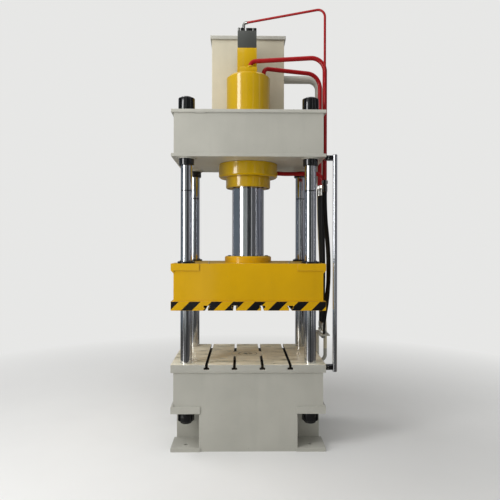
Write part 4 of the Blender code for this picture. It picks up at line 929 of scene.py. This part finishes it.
class PRESS_OT_cylinder(bpy.types.Operator):
    """Main cylinder, gland ring, ram and ram flange"""

    bl_idname = "press.cylinder"
    bl_label = "Cylinder and ram"

    def execute(self, context):
        size = sizes()
        self.barrel(size)
        ram = size.ram_diameter / 2
        low, high = levels("gland_ring")
        outer = half_width("gland_ring")
        edge = 0.006
        line = 0.001
        dress(turned("gland_turned", [
            (ram + FIT, high), (outer - line, high), (outer, high - line), (outer, low + edge),
            (outer - edge, low), (ram + 0.016, low), (ram + 0.014, low + edge), (ram + FIT, low + edge),
        ], ring=True), "turned_yellow", "gland_ring")
        low, high = levels("ram")
        foot = half_width("ram")
        piston = size.cylinder_bore / 2 - FIT
        dress(turned("ram_chrome", [
            (foot, low), (foot, low + size.ram_foot), (ram, low + size.ram_foot),
            (ram, high - size.piston_height), (piston, high - size.piston_height), (piston, high),
        ]), "chrome", "ram")
        low, high = levels("ram_flange")
        outer = half_width("ram_flange")
        inner = foot + FIT
        ledge = low + size.ram_foot + FIT
        edge = 0.010
        dress(turned("ram_flange_turned", [
            (ram + FIT, high), (outer - edge, high), (outer, high - edge), (outer, low), (inner, low),
            (inner, ledge), (ram + FIT, ledge),
        ], ring=True), "yellow", "ram_flange")
        return {"FINISHED"}

    def barrel(self, size):
        """Cylinder with its mouth flange, lower port, port block and the flange on it."""
        low, high = levels("cylinder_body")
        outer = size.cylinder_diameter / 2
        mouth = size.mouth_diameter / 2
        bore = size.cylinder_bore / 2
        rim = size.mouth_chamfer
        seat = low + size.mouth_height - FIT
        edge = 0.002
        top = barrel_top()
        head = top - size.cylinder_head
        barrel = turned("cylinder_barrel", [
            (size.head_port, top), (outer - size.cylinder_chamfer, top), (outer, top - size.cylinder_chamfer),
            (outer, seat), (mouth - edge, seat), (mouth, seat - edge), (mouth, low + rim), (mouth - rim, low),
            (bore, low), (bore, head), (size.head_port, head),
        ], ring=True)
        port = size.port_diameter / 2
        length = size.port_length + rim
        boss = turned("cylinder_port_boss", [
            (0.020, 0), (port, 0), (port, length - 0.003), (port - 0.003, length), (0.020, length),
        ], facets=48, ring=True)
        direction = lower_port()
        lay_down(boss, direction * (mouth - rim) + Vector((0, 0, (low + seat) / 2)), direction)
        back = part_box("prefill_valve_body")[0][1]
        half = size.port_block / 2
        port_block = block("cylinder_port_block", (-half, back * 1.744, top), (half, back - FIT, high))
        chamfer(port_block, 0.004, segments=2)
        flange = turned("port_block_flange", [
            (0.016, high), (0.029, high), (0.029, high + 0.008), (0.026, high + 0.010),
            (0.021, high + 0.014), (0.016, high + 0.014),
        ], front_port(), 48, ring=True)
        dress(join([barrel, boss, port_block, flange], "cylinder_barrel"), "turned_yellow", "cylinder_body")


class PRESS_OT_valves(bpy.types.Operator):
    """Prefill valve, pilot block, its cover and the tank connection"""

    bl_idname = "press.valves"
    bl_label = "Valves"

    def execute(self, context):
        for name, finish in (("prefill_valve_body", "turned_yellow"), ("pilot_block", "grey"),
                             ("pilot_cover", "black")):
            obj = block(name + "_milled", *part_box(name))
            dress(obj, finish, name, width=sizes().block_chamfer, segments=2)
        low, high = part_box("prefill_pipe")
        flange = half_width("prefill_pipe")
        length = high[1] - low[1]
        plate = sizes().pipe_flange
        pipe = 0.051
        bore = 0.045
        bead = 0.006
        obj = turned("prefill_pipe_welded", [
            (bore, 0), (flange, 0), (flange, plate), (pipe + bead, plate), (pipe, plate + bead),
            (pipe, length - plate - bead), (pipe + bead, length - plate), (flange, length - plate),
            (flange, length), (bore, length),
        ], ring=True)
        lay_down(obj, ((low[0] + high[0]) / 2, low[1], (low[2] + high[2]) / 2), (0, 1, 0))
        dress(obj, "turned_yellow", "prefill_pipe")
        return {"FINISHED"}


class PRESS_OT_pipes(bpy.types.Operator):
    """Steel pipes with smooth bends"""

    bl_idname = "press.pipes"
    bl_label = "Pipes"

    def execute(self, context):
        size = sizes()
        r = size.pipe_diameter / 2
        low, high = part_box("pipe_front")
        self.arch("pipe_front", front_port(), levels("cylinder_body")[1], (high[0] - r, low[1] + r), r)
        low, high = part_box("pipe_rear")
        self.arch("pipe_rear", (low[0] + r, low[1] + r), barrel_top(), (high[0] - r, high[1] - r), r)
        low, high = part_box("pipe_lower")
        direction = lower_port()
        start = direction * (size.mouth_diameter / 2 + size.port_length) + Vector((0, 0, high[2] - r))
        end = HOSE_ROUTES["hose_lower"][0][:2]
        self.pipe("pipe_lower", [start, start + direction * 0.09, (*end, start.z), (*end, low[2])],
                  (size.pipe_bend, size.lower_bend), r)
        low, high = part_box("pilot_pipe")
        r = 0.010
        elbow = 0.013
        foot = Vector((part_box("pilot_elbow")[0][0] + elbow, 0, levels("pilot_block")[1]))
        corner = Vector((foot.x, 0, high[2] - r))
        bend = Vector((high[0] - r, low[1] + r, corner.z))
        elbow_end = corner + (bend - corner).normalized() * 0.036
        self.pipe("pilot_elbow", [foot, corner, elbow_end], [0.022], elbow, "zinc")
        self.pipe("pilot_pipe", [elbow_end, bend, (bend.x, bend.y, low[2])], [size.pilot_bend], r)
        low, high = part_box("tank_pipe")
        r = (high[1] - low[1]) / 2
        x, y, level = high[0] - r, (low[1] + high[1]) / 2, high[2] - r
        self.pipe("tank_pipe", [(low[0], y, level), (x, y, level), (x, y, low[2])], [size.tank_bend], r,
                  "frame")
        low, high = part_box("return_stub")
        r = 0.017
        x, y, level = high[0] - r, low[1] + r, low[2] + r
        self.pipe("return_stub", [(low[0], y, level), (x, y, level), (x, y, high[2])],
                  [size.return_bend], r, "frame")
        self.reducer("return_reducer")
        return {"FINISHED"}

    def pipe(self, name, corners, bends, radius, finish="red"):
        """One bent pipe that stands for its node."""
        dress(tube(name + "_bent", bent_path(corners, bends), 2 * radius), finish, name, angle=50)

    def arch(self, name, foot, start, end, radius):
        """Pressure pipe that rises from its foot, runs level and comes down beside the crown."""
        bottom, top = levels(name)
        level = top - radius
        self.pipe(name, [(*foot, start), (*foot, level), (*end, level), (*end, bottom)],
                  (sizes().port_bend, sizes().pipe_bend), radius)

    def reducer(self, name):
        """Cone from the wide tank pipe to the return hose."""
        low, high = levels(name)
        wide = half_width(name)
        narrow = 0.020
        dress(turned(name + "_turned", [
            (wide, high), (wide, high - 0.015), (narrow, high - 0.060), (narrow, low),
        ], centre_of(name)), "frame", name)


class PRESS_OT_hoses(bpy.types.Operator):
    """Hoses and their swaged fittings"""

    bl_idname = "press.hoses"
    bl_label = "Hoses"

    def execute(self, context):
        for name, (diameter, finish, stiffness) in HOSES.items():
            path = smooth_route(HOSE_ROUTES[name], diameter * 0.8)
            obj = tube(name + "_tube", path, diameter)
            dress(obj, finish, name, angle=50)
        for name in ("front", "lower", "rear"):
            self.fitting("fitting_top_" + name, -1)
            self.fitting("fitting_low_" + name, 1)
        return {"FINISHED"}

    def fitting(self, name, along):
        """Swaged fitting at a hose's upper (-1) or lower (1) end: hexagon nut, neck and ribbed ferrule."""
        low, high = levels(name)
        place = centre_of(name)
        nut = half_width(name)
        seat, end = (high, low) if along < 0 else (low + 0.045, high)
        ferrule = 0.023
        neck = 0.018
        edge = 0.003
        rib = 0.0015
        pieces = [turned(name + "_hexagon", [
            (nut * 0.92, seat), (nut, seat + along * edge), (nut, seat + along * 0.027),
            (nut * 0.92, seat + along * 0.030),
        ], place, 6)]
        start = seat + along * 0.040
        profile = [(neck, seat + along * 0.029), (neck, start), (ferrule, start + along * edge)]
        for index in range(4):
            level = start + along * (0.008 + 0.011 * index)
            profile += [(ferrule, level), (ferrule - rib, level + along * 0.001),
                        (ferrule - rib, level + along * 0.003), (ferrule, level + along * 0.004)]
        profile += [(ferrule, end - along * edge), (ferrule - edge, end)]
        pieces.append(turned(name + "_ferrule", profile, place, 48))
        if along > 0:
            shank = 0.0165
            pieces.append(turned(name + "_shank", [(shank, low), (shank, seat + 0.001)], place, 48))
        dress(join(pieces, name + "_swaged"), "zinc", name)


class PRESS_OT_side_bar(bpy.types.Operator):
    """Chromed bar beside the right front column, and the ejector's cylinder"""

    bl_idname = "press.side_bar"
    bl_label = "Side bar"

    def execute(self, context):
        low, high = levels("side_bar")
        radius = half_width("side_bar")
        edge = sizes().nut_chamfer
        dress(turned("side_bar_chrome", [
            (radius - edge, low), (radius, low + edge), (radius, high - edge), (radius - edge, high),
        ], centre_of("side_bar")), "chrome", "side_bar")
        dress(plate_copy("ejector_cylinder_body", "ejector_cylinder"), "black", "ejector_cylinder")
        return {"FINISHED"}


class PRESS_OT_fasteners(bpy.types.Operator):
    """Screws and bolts of sleeves, gland, ram flange, brackets and valves"""

    bl_idname = "press.fasteners"
    bl_label = "Fasteners"

    def execute(self, context):
        # Radii of the screw circles
        sleeve_circle, gland_circle, flange_circle, pipe_circle = 0.0605, 0.173, 0.178, 0.0655
        places = []
        for corner in CORNERS:
            sleeve = "guide_sleeve_" + corner
            centre = (*centre_of(sleeve).xy, levels(sleeve)[1])
            places += ring_places(centre, sleeve_circle, 4, math.pi / 4)
        fasten(cap_screw("sleeve_screws", 0.013, 0.008), places, UP, "slide", "black")
        places = ring_places((0, 0, levels("gland_ring")[0]), gland_circle, 8)
        fasten(cap_screw("gland_screws", 0.024, 0.006), places, (0, 0, -1), "frame", "black")
        places = ring_places((0, 0, levels("ram_flange")[1]), flange_circle, 8, math.pi / 8)
        fasten(cap_screw("ram_flange_screws", 0.026, 0.006), places, UP, "slide", "black")
        low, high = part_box("hose_bracket")
        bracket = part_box("table_plate")[1][0] + 0.015
        margin = 0.035
        places = [(bracket, y, low[2] + rise) for y in (low[1] + margin, high[1] - margin)
                  for rise in (0.040, 0.120)]
        fasten(hex_bolt("hose_bracket_bolts", 0.024, 0.012), places, (1, 0, 0), "frame", "black")
        for end in ("upper", "lower"):
            low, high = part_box("bar_bracket_" + end)
            middle = (low[2] + high[2]) / 2
            places = [(low[0] + 0.022, low[1], middle + step) for step in (-0.009, 0.009)]
            fasten(cap_screw("bar_bracket_screws_" + end, 0.012, 0.006), places, (0, -1, 0), "frame", "zinc")
        low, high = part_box("prefill_pipe")
        x, z = (low[0] + high[0]) / 2, (low[2] + high[2]) / 2
        plate = sizes().pipe_flange
        for name, y, side in (("front", low[1] + plate, 1), ("rear", high[1] - plate, -1)):
            fasten(cap_screw("prefill_screws_" + name, 0.014, 0.008),
                   ring_places((x, y, z), pipe_circle, 8, upright=True), (0, side, 0), "frame", "black")
        self.plugs()
        return {"FINISHED"}

    def plugs(self):
        """Plugs and screws on the pilot block's top, and the slider's two grease nipples."""
        top = levels("pilot_block")[1]
        for name, x, y, diameter, height, finish in (
                ("left_plug", -0.083, -0.055, 0.020, 0.034, "zinc"),
                ("left_screw", -0.055, -0.060, 0.028, 0.030, "black"),
                ("right_plug", 0.043, -0.060, 0.018, 0.030, "zinc"),
                ("right_screw", 0.060, -0.066, 0.022, 0.026, "black")):
            fasten(cap_screw("pilot_" + name, diameter, height), [(x, y, top)], UP, "frame", finish)
        top = levels("slider")[1]
        nipple = turned("grease_nipples", [
            (0.006, 0), (0.006, 0.006), (0.0035, 0.008), (0.0025, 0.011), (0.004, 0.013), (0.004, 0.016),
            (0.002, 0.018),
        ], facets=24)
        fasten(nipple, [(-0.32, -0.40, top), (0.33, -0.40, top)], UP, "slide", "zinc")


class PRESS_OT_welds(bpy.types.Operator):
    """Weld beads of the bed, the crown and the slider"""

    bl_idname = "press.welds"
    bl_label = "Welds"

    def execute(self, context):
        low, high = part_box("crown")
        # Outer walls and inner ribs, measured from the edges of the crown's plates
        half_x, half_y = high[0] - 0.021, -low[1] - 0.009
        inner_x, inner_y = high[0] - 0.228, -low[1] - 0.240
        pad = 0.010
        plate = 0.025
        seam = high[2] - plate
        weld("crown_beads", weld_frame(half_x, half_y, low[2] + pad + plate)
             + weld_frame(half_x, half_y, seam))
        # Filled spot under the crown's top plate
        weld("crown_patch", [((-0.425, -half_y, seam), (-0.349, -half_y, seam))], "frame", width=0.0175)
        foot = 0.030
        ceiling = 0.305
        bed_top = ceiling + 0.057
        slider_top = levels("slider")[1]
        shelf = slider_top - 0.056
        bed_runs, slider_runs = [], []
        for sx in (-1, 1):
            for sy in (-1, 1):
                x, y = sx * inner_x, sy * inner_y
                wall_x, wall_y = sx * half_x, sy * half_y
                for level in (foot, ceiling):
                    bed_runs += [((x, y, level), (wall_x, y, level)), ((x, y, level), (x, wall_y, level))]
                bed_runs += [((x, y, foot), (x, y, ceiling)),
                             ((x, wall_y, bed_top), (wall_x, wall_y, bed_top)),
                             ((x, wall_y, ceiling), (x, wall_y, bed_top))]
                slider_runs += [((x, wall_y, shelf), (wall_x, wall_y, shelf)),
                                ((x, wall_y, shelf), (x, wall_y, slider_top))]
        weld("bed_beads", bed_runs)
        weld("slider_beads", slider_runs, "yellow_bead", "slide")
        return {"FINISHED"}


def studio_place(azimuth, distance, height):
    """Place in the studio; azimuth counts in degrees from the camera to the left."""
    angle = math.radians(azimuth)
    return -distance * math.sin(angle), -distance * math.cos(angle), height


def seen_rays(tree):
    """One for rays from the camera, from gloss and through glass, else zero."""
    rays = node(tree, "LightPath").outputs
    return calc(tree, "MAXIMUM", rays["Is Camera Ray"], rays["Is Glossy Ray"], rays["Is Transmission Ray"])


class PRESS_OT_stage(bpy.types.Operator):
    """Pale floor and backdrop, soft lamps and the camera"""

    bl_idname = "press.stage"
    bl_label = "Stage"

    def execute(self, context):
        studio = context.scene.press_studio
        self.floor(studio)
        self.world(studio)
        for lamp in LAMPS:
            self.lamp(*lamp)
        for name, azimuth, distance, width, tone in CARDS:
            self.sheet(name, azimuth, distance, (width, CARD_HEIGHT), CARD_HEIGHT / 2, math.pi / 2, tone)
        for name, azimuth, distance, width, length, level, tone in FLOOR_CARDS:
            self.sheet(name, azimuth, distance, (width, length), level, 0.0, tone)
        self.camera(context, studio)
        context.scene.view_settings.view_transform = "Standard"
        return {"FINISHED"}

    def floor(self, studio):
        """Wide pale floor that fades into the backdrop."""
        deselect()
        bpy.ops.mesh.primitive_plane_add(size=60, location=(0, 0, 0))
        obj = bpy.context.object
        obj.name = "studio_floor"
        material, tree, shader = blank_surface("pale_floor")
        backdrop = studio.backdrop
        cloud = ramp(tree, noise(tree, 0.8, 4), 0.3, 0.7)
        feed(tree, shader, {"Base Color": mix(tree, cloud, rgba(backdrop, 0.98), rgba(backdrop, 1.02)),
                            "Roughness": 0.8})
        matt = shader.outputs[0]
        reach = length_of(tree, node(tree, "TexCoord").outputs["Object"])
        glow = node(tree, "Emission", {"Color": rgba(backdrop), "Strength": studio.glow})
        far = node(tree, "MixShader", {0: ramp(tree, reach, 1.6, 5.0), 1: matt, 2: glow.outputs[0]})
        shown = node(tree, "MixShader", {0: seen_rays(tree), 1: matt, 2: far.outputs[0]})
        tree.links.new(shown.outputs[0], tree.nodes["Material Output"].inputs["Surface"])
        obj.data.materials.append(material)

    def sheet(self, name, azimuth, distance, size, level, tilt, tone):
        """Matt cloth that only gloss and polished metal see, as in a product studio."""
        deselect()
        bpy.ops.mesh.primitive_plane_add(size=1)
        obj = bpy.context.object
        obj.name = name
        obj.scale = (*size, 1)
        obj.rotation_euler = (tilt, 0, -math.radians(azimuth))
        obj.location = studio_place(azimuth, distance, level)
        settle(obj)
        material, tree, shader = blank_surface(name + "_cloth")
        feed(tree, shader, {"Base Color": mix(tree, noise(tree, 2.0), rgba(tone, 0.8), rgba(tone, 1.2)),
                            "Roughness": 0.9})
        obj.data.materials.append(material)
        obj.visible_camera = False
        obj.visible_diffuse = False
        obj.visible_transmission = False
        obj.visible_shadow = False

    def world(self, studio):
        """Even surroundings, pale where the camera, metal and glass see them."""
        world = bpy.data.worlds.new("studio_surroundings")
        bpy.context.scene.world = world
        world.use_nodes = True
        tree = world.node_tree
        strength = ramp(tree, seen_rays(tree), 0.0, 1.0, studio.fill, studio.glow)
        feed(tree, tree.nodes["Background"], {"Color": rgba(studio.backdrop), "Strength": strength})

    def lamp(self, name, azimuth, distance, height, size, power, in_gloss):
        """Soft rectangular lamp aimed at the press."""
        data = bpy.data.lights.new(name, "AREA")
        data.shape = "RECTANGLE"
        data.size, data.size_y = size
        data.energy = power
        obj = link(name, data)
        place = studio_place(azimuth, distance, height)
        obj.location = place
        obj.rotation_euler = (Vector(LAMP_TARGET) - Vector(place)).to_track_quat("-Z", "Y").to_euler()
        obj.visible_glossy = in_gloss

    def camera(self, context, studio):
        """Level camera in front of the press."""
        data = bpy.data.cameras.new("front_camera")
        data.sensor_width = 36.0
        data.lens = studio.lens
        data.shift_y = studio.shift
        obj = link("front_camera", data)
        back = studio.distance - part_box("table_plate")[0][1]
        c, s = math.cos(studio.yaw), math.sin(studio.yaw)
        obj.location = (studio.eye_side * c - back * s, -back * c - studio.eye_side * s, studio.eye_height)
        obj.rotation_euler = (math.pi / 2, studio.roll, -studio.yaw)
        context.scene.camera = obj


class PRESS_PT_panel(bpy.types.Panel):
    """Lists the sizes, colours and steps"""

    bl_idname = "PRESS_PT_panel"
    bl_label = "Hydraulic press"
    bl_space_type = "VIEW_3D"
    bl_region_type = "UI"
    bl_category = "Press"

    def draw(self, context):
        for key in GROUPS:
            group = getattr(context.scene, key)
            box = self.layout.box()
            for name in group.__annotations__:
                box.prop(group, name)
        for operator in OPERATORS:
            self.layout.operator(operator.bl_idname)


GROUPS = {"press_sizes": PressSizes, "press_colours": PressColours, "press_stripes": PressStripes,
          "press_studio": PressStudio}
OPERATORS = (PRESS_OT_stage, PRESS_OT_hoses, PRESS_OT_weldments, PRESS_OT_slider, PRESS_OT_table,
             PRESS_OT_columns, PRESS_OT_cylinder, PRESS_OT_valves, PRESS_OT_pipes, PRESS_OT_side_bar,
             PRESS_OT_fasteners, PRESS_OT_welds)


def register():
    """Register the classes and hang the settings on the scene."""
    for name, group in GROUPS.items():
        bpy.utils.register_class(group)
        setattr(bpy.types.Scene, name, bpy.props.PointerProperty(type=group))
    for cls in (*OPERATORS, PRESS_PT_panel):
        bpy.utils.register_class(cls)


def unregister():
    """Undo what register did."""
    for cls in (PRESS_PT_panel, *reversed(OPERATORS)):
        bpy.utils.unregister_class(cls)
    for name, group in GROUPS.items():
        delattr(bpy.types.Scene, name)
        bpy.utils.unregister_class(group)


def main():
    """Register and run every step."""
    register()
    make_materials()
    for step in ("stage", "hoses", "weldments", "slider", "table", "columns", "cylinder", "valves", "pipes",
                 "side_bar", "fasteners", "welds"):
        getattr(bpy.ops.press, step)()


if __name__ == "__main__":
    main()
